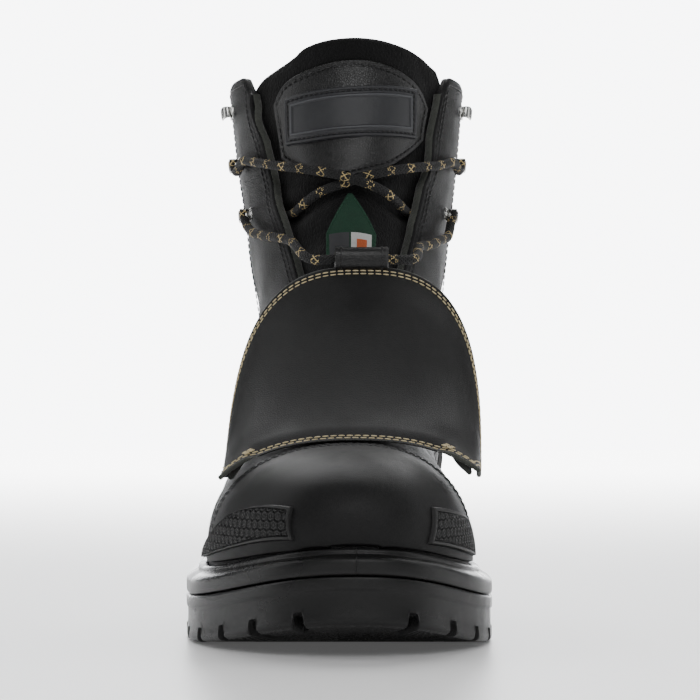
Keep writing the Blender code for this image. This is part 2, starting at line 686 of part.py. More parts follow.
def patch(name, rows, angles_of, column_count, lift_of, thickness, material, outwards=True):
    """A sheet over the last between two angles of each row, lifted by its own amount."""
    grid = []
    for row in rows:
        low, high = angles_of(row)
        angles = np.linspace(low, high, column_count)
        share = np.linspace(-1.0, 1.0, column_count)
        grid.append(skin(row, angles, lift_of(row, share)))
    grid = np.array(grid)
    mesh = mesh_from(name, grid.reshape(-1, 3), grid_faces(len(rows), column_count))
    piece = link_mesh(name, face_outwards(mesh, (0.0, 0.08, 0.08)), material)
    thicken(piece, thickness, outwards)
    return piece


def tongue_lift(row, share):
    """Tongue's front face: under the facings at its sides, padded out between them."""
    puff = TONGUE_PUFF * np.clip(1.0 - (share / 0.72) ** 2, 0.0, 1.0)
    return -(WALL + 3.0 * FIT_GAP) + puff * ramp(row, 9.5, 11.5)


def make_tongue():
    """Tongue with its shiny panel, badge and patch."""
    rows = np.array([7.4, 8.0, 9.0, 10.0, 11.0, 12.0, 13.0, 14.0, 15.0, 16.0, 17.0, 18.0, 19.0,
                     20.0, 21.0, 21.6, 22.1])

    def spread(row):
        wide = last_row(row)["throat"] + 11.0 * (1.0 - ramp(row, 20.5, 21.4))
        return -wide, wide

    patch("tongue", rows, spread, 13, tongue_lift, TONGUE_THICK, TONGUE_CLOTH, outwards=False)


    panel_rows = np.array([17.5, 18.0, 19.0, 20.0, 20.7, 21.2])

    def panel_spread(row):
        wide = PANEL_ANGLE * (1.0 - 0.55 * ramp(row, 20.2, 21.5)) * (0.62 + 0.38 * ramp(row, 17.2, 18.6))
        return -wide, wide

    def on_tongue(extra):
        def lift(row, share):
            low, high = panel_spread(row)
            own = np.linspace(low, high, len(share)) / spread(row)[1]
            return tongue_lift(row, own) + extra
        return lift

    patch("tongue_panel", panel_rows, panel_spread, 9, on_tongue(PATCH_GAP), PANEL_LEATHER, CAP_LEATHER_LOOK)

    def badge_spread(row):
        return -BADGE_ANGLE, BADGE_ANGLE

    def badge_lift(row, share):
        own = share * BADGE_ANGLE / spread(row)[1]
        return tongue_lift(row, own) + 2.0 * PATCH_GAP + PANEL_LEATHER

    patch("tongue_badge", np.array([18.6, 19.2, 19.8]), badge_spread, 9, badge_lift, BADGE_THICK, BADGE_RUBBER)

    def tag_spread(row):
        wide = TAG_ANGLE * (1.0 - 0.9 * ramp(row, 15.4, 16.9))
        return -wide, wide

    def tag_lift(row, share):
        own = share * tag_spread(row)[1] / spread(row)[1]
        return tongue_lift(row, own) + PATCH_GAP

    patch("tongue_patch", np.array([14.4, 15.4, 16.2, 16.8]), tag_spread, 5, tag_lift, PANEL_LEATHER, TAG_FABRIC)


def make_bumpers():
    """Moulded toe bumpers: bands above the lip between their own corners on the last."""
    for name, corners in BUMPERS:
        along = np.linspace(0.0, 1.0, 8)
        upward = np.linspace(0.0, 1.0, 4)
        grid = []
        for q in upward:
            low = np.array(corners[0])[:, None] * (1 - along) + np.array(corners[1])[:, None] * along
            high = np.array(corners[3])[:, None] * (1 - along) + np.array(corners[2])[:, None] * along
            row, angle = low * (1 - q) + high * q
            lift = np.full(len(along), FIT_GAP + CAP_LEATHER + PATCH_GAP)
            grid.append(skin(row, angle, lift))
        grid = np.array(grid)
        mesh = mesh_from(name, grid.reshape(-1, 3), grid_faces(4, 8))
        piece = link_mesh(name, face_outwards(mesh, (0.0, 0.0, 0.03)), RUBBER)
        thicken(piece, BUMPER_THICK, True)


def guard_point(along, across):
    """Point of the guard's outer face.

    The front arc follows the last above the toe cap; the rear arc is a tall superellipse.
    Along runs from the front seam (0) to the rear edge (1), across from the lateral tip (-1)
    to the medial tip (1); between the arcs the height swells by a power, like a saddle.
    """
    along, across = np.broadcast_arrays(np.asarray(along, dtype=float), np.asarray(across, dtype=float))
    spread = np.abs(across) ** 2
    seat = FIT_GAP + CAP_LEATHER + FIT_GAP + GUARD_LEATHER + GUARD_SEAT
    lift = seat + spread * np.where(across > 0.0, GUARD_FLARE_MEDIAL, GUARD_FLARE_LATERAL)
    front = skin(np.full(across.shape, GUARD_ROW) + GUARD_SWEEP * spread, across * GUARD_ANGLE, lift)
    turn = np.abs(across) * 0.5 * np.pi
    power = 2.0 / GUARD_POWER
    side = np.clip(np.sin(turn), 0.0, 1.0) ** power
    rise = np.clip(np.cos(turn), 0.0, 1.0) ** power
    middle = GUARD_MIDDLE * BALL_WIDTH
    rear_x = middle + GUARD_LEAN * rise + np.sign(across) * GUARD_HALF * side
    run = GUARD_REAR_RUN + (GUARD_RUN - GUARD_REAR_RUN) * rise
    rear = np.stack([rear_x, (run - 0.5) * SOLE_LENGTH, GUARD_TIP + (GUARD_TOP - GUARD_TIP) * rise], axis=-1)
    plan = along[..., None]
    point = front * (1.0 - plan) + rear * plan
    swell = np.clip(along, 0.0, None) ** GUARD_SWELL
    point[..., 2] = front[..., 2] * (1.0 - swell) + rear[..., 2] * swell
    return point


def guard_sheet(along, across, sink):
    """Grid of the guard's face, sunk below its outer side by some depth."""
    a, b = np.meshgrid(along, across, indexing="ij")
    step = 0.01
    run = guard_point(a + step, b) - guard_point(a - step, b)
    reach = guard_point(a, np.clip(b + step, -1.0, 1.0)) - guard_point(a, np.clip(b - step, -1.0, 1.0))
    normal = np.cross(reach, run)
    normal = normal / np.linalg.norm(normal, axis=-1, keepdims=True)
    return guard_point(a, b) - normal * sink


def make_guard():
    """Metatarsal guard: leather shell, felt under it, and the leather keeper at its top."""
    across = np.sin(np.linspace(-0.5, 0.5, 17) * math.pi) * 0.35 + np.linspace(-1.0, 1.0, 17) * 0.65
    for name, along, reach, sink, thickness, material in (
            ("guard", np.linspace(0.0, 1.0, 9), 1.0, 0.0, GUARD_LEATHER, CAP_LEATHER_LOOK),
            ("guard_lining", np.linspace(0.2, 0.985, 8), 0.975, GUARD_LEATHER + FELT_GAP, GUARD_FELT, FELT)):
        grid = guard_sheet(along, across * reach, sink)
        mesh = mesh_from(name, grid.reshape(-1, 3), grid_faces(len(along), len(across)))
        piece = link_mesh(name, face_outwards(mesh, (0.0, 0.0, 0.04)), material)
        thicken(piece, thickness, False)
    top = guard_point(1.0, 0.0)
    turn = np.linspace(0.0, 1.0, 9)
    inner = 0.5 * LACE_DIAMETER + KEEPER_SLACK
    outer = inner + KEEPER_LEATHER
    ring = []
    for share in turn:
        at = 2.0 * math.pi * share
        ring.append((math.sin(at), math.cos(at)))
    height = top[2] + outer + FIT_GAP
    points = []
    for x in (-0.5 * KEEPER_WIDTH, 0.5 * KEEPER_WIDTH):
        for radius in (inner, outer):
            for back, up in ring[:-1]:
                points.append((top[0] + x, top[1] + back * radius, height + up * radius))
    count = len(ring) - 1
    faces = []
    for i in range(count):
        j = (i + 1) % count
        faces.append((i, j, count + j, count + i))
        faces.append((2 * count + i, 2 * count + j, 3 * count + j, 3 * count + i))
        faces.append((i, j, 2 * count + j, 2 * count + i))
        faces.append((count + i, count + j, 3 * count + j, 3 * count + i))
    link_mesh("guard_keeper", mesh_from("guard_keeper", points, faces), CAP_LEATHER_LOOK)
    return Vector((top[0], top[1], height))


def make_hooks():
    """Lace hooks: a bent strip of steel on each facing, its arm curling back over the lace."""
    for side, word in ((-1, "lateral"), (1, "medial")):
        for number, (row, angle) in enumerate(HOOK_SPOTS, start=1):
            seat = skin(row, side * angle, np.array(FIT_GAP + STAY_LEATHER + PATCH_GAP))
            out = last_normal(row, side * angle)
            up = last_point(row + 0.1, side * angle) - last_point(row - 0.1, side * angle)
            up = up - out * np.dot(up, out)
            up = up / np.linalg.norm(up)
            back = np.cross(out, up) * -side
            half = 0.5 * HOOK_WIDTH
            profile = []
            for reach, lift in HOOK_PROFILE:
                profile.append((reach * HOOK_LENGTH, lift * HOOK_LENGTH))
            sides = []
            for shift in (-half, half):
                for reach, lift in profile:
                    sides.append(seat + back * reach + out * lift + up * shift)
            count = len(profile)
            faces = [tuple(range(count))[::-1], tuple(range(count, 2 * count))]
            for i in range(count):
                j = (i + 1) % count
                faces.append((i, j, count + j, count + i))
            name = "hook_%s_%d" % (word, number)
            link_mesh(name, mesh_from(name, sides, faces), STEEL, angle=30.0)


def cord(name, route, sides=2):
    """Round lace along a smooth curve through its route's points."""
    route = np.array(route)
    knots = np.concatenate([[0.0], np.cumsum(np.linalg.norm(np.diff(route, axis=0), axis=1))])
    count = max(3, int(knots[-1] / (2.2 * LACE_DIAMETER)))
    at = np.linspace(0.0, knots[-1], count)
    line = np.stack([flowing(knots, route[:, axis], at) for axis in range(3)], axis=1)
    curve = bpy.data.curves.new(name, "CURVE")
    curve.dimensions = "3D"
    curve.bevel_depth = 0.5 * LACE_DIAMETER
    curve.bevel_resolution = sides
    curve.use_fill_caps = True
    spline = curve.splines.new("POLY")
    spline.points.add(count - 1)
    for point, place in zip(spline.points, line):
        point.co = (*place, 1.0)
    strand = bpy.data.objects.new(name, curve)
    bpy.context.scene.collection.objects.link(strand)
    bpy.context.view_layer.update()
    graph = bpy.context.evaluated_depsgraph_get()
    mesh = bpy.data.meshes.new_from_object(strand.evaluated_get(graph))
    bpy.data.objects.remove(strand, do_unlink=True)
    shape = bmesh.new()
    shape.from_mesh(mesh)
    bmesh.ops.remove_doubles(shape, verts=shape.verts, dist=1e-6)
    shape.to_mesh(mesh)
    shape.free()
    return mesh


def lace_route(rows):
    """Places of a lace's points: last row, degrees from the ridge, and lift as lace diameters."""
    return [skin(row, angle, np.array(lift * LACE_DIAMETER)) for row, angle, lift in rows]


def make_laces(keeper):
    """The crossing above the guard, joined where it crosses, and the run through the keeper."""
    crossing = link_mesh("lace_crossing", cord("lace_crossing", lace_route(CROSS_DOWN)), LACE)
    other = bpy.data.objects.new("lace_under", cord("lace_under", lace_route(CROSS_UP)))
    CUTTERS.objects.link(other)
    other.hide_render = True
    other.display_type = "WIRE"
    union = crossing.modifiers.new("crossing", "BOOLEAN")
    union.operation = "UNION"
    union.solver = "EXACT"
    union.object = other
    half = 0.5 * KEEPER_WIDTH
    through = [keeper + Vector((reach, back, 0.0)) for reach, back in (
        (-1.8 * half, 0.9 * LACE_DIAMETER), (-1.1 * half, 0.0), (0.0, 0.0), (1.1 * half, 0.0),
        (1.8 * half, 0.9 * LACE_DIAMETER))]
    route = lace_route(KEEPER_RUN_LATERAL) + through + lace_route(KEEPER_RUN_MEDIAL)
    link_mesh("lace_keeper_run", cord("lace_keeper_run", route), LACE)


def make_pieces():
    """Every sub-part of the boot."""
    make_sole()
    make_upper()
    make_overlays()
    make_tongue()
    make_bumpers()
    keeper = make_guard()
    make_hooks()
    make_laces(keeper)


for old in list(bpy.data.objects):
    bpy.data.objects.remove(old, do_unlink=True)

BOOT = bpy.data.collections.new("metatarsal_guard_boot")
CUTTERS = bpy.data.collections.new("cutters")
bpy.context.scene.collection.children.link(BOOT)
bpy.context.scene.collection.children.link(CUTTERS)

RUBBER = make_material("outsole_rubber", (0.018, 0.018, 0.019), 0.45)
MIDSOLE_RUBBER = make_material("midsole_rubber", (0.020, 0.020, 0.021), 0.40)
FOOTBED = make_material("footbed_fabric", (0.05, 0.05, 0.055), 0.90)
LEATHER = make_material("black_leather", (0.020, 0.020, 0.021), 0.50)
CAP_LEATHER_LOOK = make_material("smooth_leather", (0.022, 0.022, 0.024), 0.38)
TONGUE_CLOTH = make_material("tongue_cloth", (0.018, 0.018, 0.019), 0.85)
BADGE_RUBBER = make_material("badge_rubber", (0.030, 0.030, 0.032), 0.40)
TAG_FABRIC = make_material("patch_fabric", (0.05, 0.22, 0.10), 0.80)
FELT = make_material("guard_felt", (0.16, 0.17, 0.15), 0.95)
STEEL = make_material("hook_steel", (0.75, 0.74, 0.72), 0.22, 1.0)
LACE = make_material("lace_cord", (0.018, 0.018, 0.018), 0.75)

make_pieces()
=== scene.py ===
# %% [markdown]
# # A metatarsal guard boot, dressed for its portrait
# A heavy black work boot for the right foot: a thick moulded sole, a leather upper on a wooden last's
# shape, and a stitched leather guard that hangs over the instep. The solids of the construction are
# already packed, so this lesson only models what the eye sees on them.
# Every surface is worked out from two parameters with numpy, because one function can then place the
# leather, the seam on it and the stitches in the seam on the same skin.

# %% Load the frame
import math

import bmesh
import bpy
import numpy as np
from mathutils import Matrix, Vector


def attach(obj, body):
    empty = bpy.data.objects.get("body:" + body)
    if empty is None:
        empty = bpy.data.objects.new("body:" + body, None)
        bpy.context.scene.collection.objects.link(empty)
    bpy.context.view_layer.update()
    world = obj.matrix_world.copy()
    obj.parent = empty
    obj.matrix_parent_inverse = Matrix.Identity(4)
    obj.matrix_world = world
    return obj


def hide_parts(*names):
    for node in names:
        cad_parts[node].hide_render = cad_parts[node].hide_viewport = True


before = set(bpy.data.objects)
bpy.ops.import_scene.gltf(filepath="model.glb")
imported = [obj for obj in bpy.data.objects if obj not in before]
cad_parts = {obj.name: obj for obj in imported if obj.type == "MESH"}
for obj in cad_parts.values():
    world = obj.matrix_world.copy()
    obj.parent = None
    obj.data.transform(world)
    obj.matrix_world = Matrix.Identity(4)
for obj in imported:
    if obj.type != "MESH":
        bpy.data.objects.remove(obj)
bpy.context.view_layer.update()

# %% [markdown]
# ## Camera
# The portrait is taken from straight ahead with a long lens, about a metre from the boot and level with
# the vamp. A long lens could be copied by trial, but the sole's lip at the toe and at the ball gives
# both the distance and the horizon, so the camera is placed by numbers.

# %% Camera
CAMERA_PLACE = (0.0049, -1.0686, 0.092)
CAMERA_LENS = 130.5
CAMERA_LIFT = 1.22

camera = bpy.data.objects.new("portrait_camera", bpy.data.cameras.new("portrait_camera"))
bpy.context.scene.collection.objects.link(camera)
camera.location = CAMERA_PLACE
camera.rotation_euler = (math.radians(90.0 + CAMERA_LIFT), 0.0, 0.0)
camera.data.lens = CAMERA_LENS
camera.data.sensor_width = 36.0
camera.data.clip_end = 20.0
bpy.context.scene.camera = camera

# %% [markdown]
# ## Lights
# Two weak soft boxes stand at the sides, a large one hangs behind the boot and one stands in front. Sun
# and point lamps would be simpler, but on black leather the reflections are the drawing, and only large
# soft lights draw long soft highlights.

# %% Lights
LIGHTS = (
    # name, place, aimed at, width, height, watts
    ("left_box", (-1.05, 0.05, 0.55), (0.0, 0.0, 0.12), 0.45, 1.2, 3.2),
    ("right_box", (1.05, 0.1, 0.5), (0.0, 0.0, 0.12), 0.45, 1.2, 2.6),
    ("top_box", (0.0, 1.15, 1.45), (0.0, -0.1, 0.0), 1.8, 1.00, 34.0),
    ("front_box", (0.25, -1.6, 1.15), (0.0, 0.0, 0.12), 1.1, 0.8, 11.0),
)


def soft_box(name, place, target, width, height, watts):
    """Area light of the given size at its place, turned towards its target."""
    lamp = bpy.data.lights.new(name, "AREA")
    lamp.shape = "RECTANGLE"
    lamp.size = width
    lamp.size_y = height
    lamp.energy = watts
    box = bpy.data.objects.new(name, lamp)
    box.location = place
    box.rotation_euler = (Vector(target) - Vector(place)).to_track_quat("-Z", "Y").to_euler()
    bpy.context.scene.collection.objects.link(box)


for light in LIGHTS:
    soft_box(*light)

print("lights", len(LIGHTS))

# %% [markdown]
# ## Node groups for the finishes
# Leather, rubber and cloth all need the same few effects: a grain, a little rubbing and a nap. Each could
# be drawn again in every material, but a node group with named inputs is built once and then set per
# material, which keeps the scale of the grain the same on every piece of one hide.

# %% Node helpers
def add_node(tree, kind, values=None, links=None, **settings):
    """New node of a kind; settings are its properties, values its sockets, links what feeds them."""
    node = tree.nodes.new(kind)
    for key, value in settings.items():
        setattr(node, key, value)
    for key, value in (values or {}).items():
        node.inputs[key].default_value = value
    for key, source in (links or {}).items():
        tree.links.new(source, node.inputs[key])
    return node


def new_group(name, inputs, outputs):
    """Empty shader group with float or vector inputs and float outputs, and its two end nodes."""
    tree = bpy.data.node_groups.new(name, "ShaderNodeTree")
    for label, kind, value in inputs:
        socket = tree.interface.new_socket(name=label, in_out="INPUT", socket_type=kind)
        if value is not None:
            socket.default_value = value
    for label in outputs:
        tree.interface.new_socket(name=label, in_out="OUTPUT", socket_type="NodeSocketFloat")
    return tree, add_node(tree, "NodeGroupInput"), add_node(tree, "NodeGroupOutput")


def math_node(tree, operation, first, second=None, third=None, clamp=False):
    """Math node whose operands are sockets or plain numbers."""
    node = add_node(tree, "ShaderNodeMath", operation=operation, use_clamp=clamp)
    for index, value in enumerate((first, second, third)):
        if value is None:
            continue
        if isinstance(value, (int, float)):
            node.inputs[index].default_value = value
        else:
            tree.links.new(value, node.inputs[index])
    return node.outputs[0]


def mix_colour(tree, share, first, second):
    """Colour between two others by a share; each of the two is a colour, a grey's one value or a socket."""
    node = add_node(tree, "ShaderNodeMix", links={0: share}, data_type="RGBA")
    for index, colour in ((6, first), (7, second)):
        if isinstance(colour, float):
            colour = (colour, colour, colour)
        if isinstance(colour, tuple):
            node.inputs[index].default_value = (*colour, 1.0)
        else:
            tree.links.new(colour, node.inputs[index])
    return node.outputs[2]


def noise(tree, place, scale, detail, roughness=0.5):
    """Noise texture's one value at a place; its scale is a number or a socket."""
    links = {"Vector": place}
    values = {"Detail": detail, "Roughness": roughness}
    (values if isinstance(scale, float) else links)["Scale"] = scale
    return add_node(tree, "ShaderNodeTexNoise", values, links).outputs["Fac"]


FLOAT = "NodeSocketFloat"
VECTOR = "NodeSocketVector"

# %% [markdown]
# ## The room
# What the boot mirrors is the world's own brightness by direction: dim all round, and bright in a round
# patch straight behind, with a soft edge. A photo of a studio could be wrapped round the scene, but a
# smooth step on the direction's Y share gives the same without a picture.

# %% Room
BACKDROP, ROOM = 8.0, 0.18
PATCH_EDGE = (0.9, 0.978)

world = bpy.data.worlds.new("studio")
world.use_nodes = True
sky = world.node_tree
split = add_node(sky, "ShaderNodeSeparateXYZ",
                 links={0: add_node(sky, "ShaderNodeTexCoord").outputs["Generated"]})
rise = add_node(sky, "ShaderNodeMapRange",
                {"From Min": PATCH_EDGE[0], "From Max": PATCH_EDGE[1], "To Min": ROOM, "To Max": BACKDROP},
                {"Value": split.outputs["Y"]}, interpolation_type="SMOOTHSTEP")
sky.links.new(rise.outputs["Result"], sky.nodes["Background"].inputs["Strength"])
sky.nodes["Background"].inputs["Color"].default_value = (0.97, 0.98, 1.0, 1.0)
bpy.context.scene.world = world

# %% [markdown]
# ## Leather's grain
# Grain is small rounded cells parted by fine grooves. A scan would show one hide's own cells; the
# distance to the nearest edge of a cell texture gives them at any scale, softened by a slow swell. A
# second slow noise marks where handling has rubbed the hide smooth.

# %% Hide grain
def hide_group():
    """Height is cell relief plus a share of the swell; rub is slow noise above a limit."""
    tree, start, end = new_group(
        "hide_grain", (("Place", VECTOR, None), ("Cells", FLOAT, 900.0), ("Swell", FLOAT, 0.5)),
        ("Height", "Rub"))
    place = start.outputs["Place"]
    cells = add_node(tree, "ShaderNodeTexVoronoi", {"Randomness": 0.9},
                     {"Vector": place, "Scale": start.outputs["Cells"]}, feature="DISTANCE_TO_EDGE")
    edge = math_node(tree, "MULTIPLY", cells.outputs["Distance"], 3.0, clamp=True)
    edge = math_node(tree, "POWER", edge, 0.5)
    swell = math_node(tree, "MULTIPLY", noise(tree, place, 60.0, 4.0), start.outputs["Swell"])
    rub = math_node(tree, "SUBTRACT", noise(tree, place, 22.0, 5.0, 0.6), 0.47)
    tree.links.new(math_node(tree, "ADD", edge, swell), end.inputs["Height"])
    tree.links.new(math_node(tree, "MULTIPLY", rub, 6.0, clamp=True), end.inputs["Rub"])
    return tree


HIDE = hide_group()

# %% [markdown]
# ## Scuffs
# A work boot's leather has thin scratches in a few worn areas. They could be painted one by one, but
# noise stretched a long way in one direction is a field of scratches already: two such fields cross, and
# a slower noise lets them through only here and there.

# %% Scuffs
def wear_group():
    """Scuff is one on a scratch inside a worn area; density sets how large the worn areas are."""
    tree, start, end = new_group("wear", (("Place", VECTOR, None), ("Density", FLOAT, 0.5)), ("Scuff",))
    place = start.outputs["Place"]
    lines = []
    for turn, scale in ((0.6, (14.0, 300.0, 60.0)), (-0.9, (260.0, 18.0, 50.0))):
        mapped = add_node(tree, "ShaderNodeMapping", {"Rotation": (0.0, 0.2, turn), "Scale": scale},
                          {"Vector": place})
        away = math_node(tree, "SUBTRACT", noise(tree, mapped.outputs["Vector"], 1.0, 2.0), 0.66)
        lines.append(math_node(tree, "MULTIPLY", away, 14.0, clamp=True))
    limit = math_node(tree, "SUBTRACT", 1.0, start.outputs["Density"])
    area = math_node(tree, "GREATER_THAN", noise(tree, place, 35.0, 2.0), limit)
    scuff = math_node(tree, "MULTIPLY", math_node(tree, "MAXIMUM", *lines), area)
    tree.links.new(scuff, end.inputs["Scuff"])
    return tree


WEAR = wear_group()

# %% [markdown]
# ## Nap
# Felt, padded cloth and thread are fibres, far too many to model. Very fine noise, drawn out a little
# along the height, stands for the fibres, and a coarser one for how they clump.

# %% Nap
def nap_group():
    """Height is fibres plus clumps; the clumps alone are the mask for colour and roughness."""
    tree, start, end = new_group(
        "nap", (("Place", VECTOR, None), ("Fibres", FLOAT, 1.0)), ("Height", "Clumps"))
    place = start.outputs["Place"]
    mapped = add_node(tree, "ShaderNodeMapping", {"Scale": (1.0, 1.0, 0.45)}, {"Vector": place})
    scale = math_node(tree, "MULTIPLY", start.outputs["Fibres"], 1500.0)
    fine = noise(tree, mapped.outputs["Vector"], scale, 3.0)
    clumps = noise(tree, place, 160.0, 4.0)
    tree.links.new(math_node(tree, "ADD", fine, clumps), end.inputs["Height"])
    tree.links.new(clumps, end.inputs["Clumps"])
    return tree


NAP = nap_group()

# %% [markdown]
# ## The finishes themselves
# A finish is one Principled shader. Its colour runs between a dark and a light value by a mask from a
# group, its roughness between two values by the same or another mask, and its relief goes through a
# Bump node. The recipe is the same for hide, rubber and cloth; only the group and the numbers change.

# %% Finish recipe
def finish(name, dark, light, rough, group, group_values, relief, mask, wear=0.0, wear_colour=None,
           metallic=0.0, coat=0.0, sheen=0.0, specular=0.5):
    """Principled material from a group's Height and mask, on Object coordinates.

    Colour is dark mixed with light by the mask, roughness the pair mixed by the same mask, and
    relief the Bump distance in metres; wear adds the wear group's scuffs in their own colour.
    """
    material = bpy.data.materials.new(name)
    material.use_nodes = True
    tree = material.node_tree
    shader = tree.nodes["Principled BSDF"]
    place = add_node(tree, "ShaderNodeTexCoord").outputs["Object"]
    effect = add_node(tree, "ShaderNodeGroup", group_values, {"Place": place}, node_tree=group)
    colour = mix_colour(tree, effect.outputs[mask], dark, light)
    rough_out = math_node(tree, "MULTIPLY_ADD", effect.outputs[mask], rough[1] - rough[0], rough[0])
    if wear > 0.0:
        worn = add_node(tree, "ShaderNodeGroup", {"Density": wear}, {"Place": place}, node_tree=WEAR)
        share = math_node(tree, "MULTIPLY", worn.outputs["Scuff"], 0.35)
        colour = mix_colour(tree, share, colour, wear_colour)
        rough_out = math_node(tree, "MULTIPLY_ADD", share, 0.4, rough_out, clamp=True)
    tree.links.new(colour, shader.inputs["Base Color"])
    tree.links.new(rough_out, shader.inputs["Roughness"])
    bump = add_node(tree, "ShaderNodeBump", {"Strength": 1.0, "Distance": relief},
                    {"Height": effect.outputs["Height"]})
    tree.links.new(bump.outputs["Normal"], shader.inputs["Normal"])
    plain = {"Metallic": metallic, "Coat Weight": coat, "Coat Roughness": 0.3, "Sheen Weight": sheen,
             "Sheen Roughness": 0.5, "Specular IOR Level": specular}
    for key, value in plain.items():
        shader.inputs[key].default_value = value
    return material


def hide_look(name, dark, light, rough, cells, swell, relief, **more):
    """Finish with leather's grain, fine enough for moulded rubber too."""
    return finish(name, dark, light, rough, HIDE, {"Cells": cells, "Swell": swell}, relief, "Rub", **more)


def nap_look(name, dark, light, rough, fibres, relief, **more):
    """Finish with fibres, for cloth, felt, thread and brushed steel."""
    return finish(name, dark, light, rough, NAP, {"Fibres": fibres}, relief, "Clumps", **more)


# %% [markdown]
# ## Leathers
# The shaft, the guard and the cap are one black hide with the same grain, finished matt; only the panel and
# the keeper tab are polished. Where leather is cut, its grey fibres show. All of it is nearly black, so
# the photo's greys come from reflections and not from the colour.

# %% Leathers
UPPER_HIDE = hide_look("upper_hide", (0.005, 0.005, 0.0053), 0.0095, (0.52, 0.66), 850.0, 0.6,
                       0.00014, wear=0.42, wear_colour=(0.05, 0.05, 0.048), specular=0.28)
GUARD_HIDE = hide_look("guard_hide", (0.0095, 0.0095, 0.0097), (0.0155, 0.0155, 0.0153), (0.58, 0.7),
                       1150.0, 0.8, 0.00007, wear=0.38, wear_colour=(0.05, 0.05, 0.047), specular=0.35)
CAP_HIDE = hide_look("cap_hide", (0.0048, 0.0048, 0.005), 0.0092, (0.5, 0.64), 1300.0, 0.7, 0.00004,
                     wear=0.45, wear_colour=(0.13, 0.13, 0.12), specular=0.32)
PANEL_HIDE = hide_look("panel_hide", 0.006, 0.01, (0.32, 0.44), 1000.0, 0.7, 0.0001, coat=0.15)
KEEPER_HIDE = hide_look("keeper_hide", 0.006, 0.01, (0.3, 0.42), 900.0, 0.4, 0.00006)
CUT_EDGE = nap_look("cut_edge", (0.024, 0.027, 0.023), (0.085, 0.09, 0.076), (0.85, 0.95), 1.0, 0.0006,
                    sheen=0.3)

# %% [markdown]
# ## Rubbers, cloths, thread and steel
# Moulded rubber is smoother than leather but has a fine skin too, so it takes the hide's recipe at a
# smaller scale. Cloth and thread take the nap.

# %% Rubbers, cloths, thread and steel
SOLE_RUBBER = hide_look("sole_rubber", 0.0042, 0.0075, (0.24, 0.4), 2600.0, 0.9, 0.00003, specular=0.4)
BUMPER_RUBBER = hide_look("bumper_rubber", 0.007, 0.012, (0.4, 0.52), 2400.0, 0.5, 0.00003)
BADGE_LOOK = hide_look("badge_rubber_look", (0.028, 0.029, 0.032), (0.04, 0.041, 0.045), (0.45, 0.55),
                       2000.0, 0.5, 0.00003)
FRAME_LINE = hide_look("frame_line", (0.075, 0.078, 0.085), (0.1, 0.104, 0.11), (0.45, 0.55), 2000.0,
                       0.5, 0.00003)
TONGUE_LOOK = nap_look("tongue_nap", (0.0035, 0.0035, 0.0036), 0.008, (0.9, 0.97), 0.9, 0.0008,
                       sheen=0.05, specular=0.25)
LINING_LOOK = nap_look("lining_cloth", (0.01, 0.01, 0.011), (0.022, 0.022, 0.023), (0.85, 0.95), 0.7,
                       0.0006, sheen=0.1)
FELT_LOOK = nap_look("guard_felt_look", (0.055, 0.058, 0.05), (0.13, 0.135, 0.12), (0.9, 0.97), 0.8,
                     0.0009, sheen=0.2)
THREAD_TAN = nap_look("thread_tan", (0.62, 0.5, 0.27), (0.82, 0.7, 0.44), (0.6, 0.75), 1.5, 0.0002,
                      sheen=0.2)
THREAD_BLACK = nap_look("thread_black", 0.01, 0.024, (0.35, 0.5), 1.5, 0.0002)
STEEL_LOOK = nap_look("hook_nickel", (0.55, 0.55, 0.54), (0.68, 0.68, 0.66), (0.16, 0.3), 0.5, 0.00002,
                      metallic=1.0)
PATCH_GREEN = nap_look("patch_green", (0.006, 0.035, 0.018), (0.01, 0.055, 0.028), (0.75, 0.85), 1.2,
                       0.0003)
PATCH_WHITE = nap_look("patch_white", (0.55, 0.55, 0.53), (0.7, 0.7, 0.67), (0.7, 0.8), 1.2, 0.0003)
PATCH_ORANGE = nap_look("patch_orange", (0.5, 0.1, 0.025), (0.62, 0.14, 0.04), (0.7, 0.8), 1.2, 0.0003)
FLOOR_LOOK = nap_look("floor_paint", 0.9, 0.93, (0.35, 0.45), 0.1, 0.00001)
print("materials", len(bpy.data.materials))

# %% [markdown]
# ## The floor
# The photo's ground fades to pure white behind the boot. A bent paper sweep could stand there, but its
# light would come back onto the leather; here the floor is one square that glows more with distance.

# %% Floor
FLOOR_HALF = 4.0
GLOW_START, GLOW_END = 0.2, 2.6
GLOW_LOW, GLOW_HIGH = 0.08, 6.5

floor_mesh = bpy.data.meshes.new("floor")
corners = [(-FLOOR_HALF, -FLOOR_HALF, 0.0), (FLOOR_HALF, -FLOOR_HALF, 0.0),
           (FLOOR_HALF, FLOOR_HALF, 0.0), (-FLOOR_HALF, FLOOR_HALF, 0.0)]
floor_mesh.from_pydata(corners, [], [(0, 1, 2, 3)])
sweep = FLOOR_LOOK.node_tree
floor_shader = sweep.nodes["Principled BSDF"]
floor_shader.inputs["Emission Color"].default_value = (1.0, 1.0, 1.0, 1.0)
floor_place = add_node(sweep, "ShaderNodeTexCoord").outputs["Object"]
floor_split = add_node(sweep, "ShaderNodeSeparateXYZ", links={0: floor_place})
glow = add_node(sweep, "ShaderNodeMapRange",
                {"From Min": GLOW_START, "From Max": GLOW_END, "To Min": GLOW_LOW, "To Max": GLOW_HIGH},
                {"Value": floor_split.outputs["Y"]}, interpolation_type="SMOOTHSTEP")
sweep.links.new(glow.outputs["Result"], floor_shader.inputs["Emission Strength"])
floor_mesh.materials.append(FLOOR_LOOK)
floor = bpy.data.objects.new("floor", floor_mesh)
bpy.context.scene.collection.objects.link(floor)

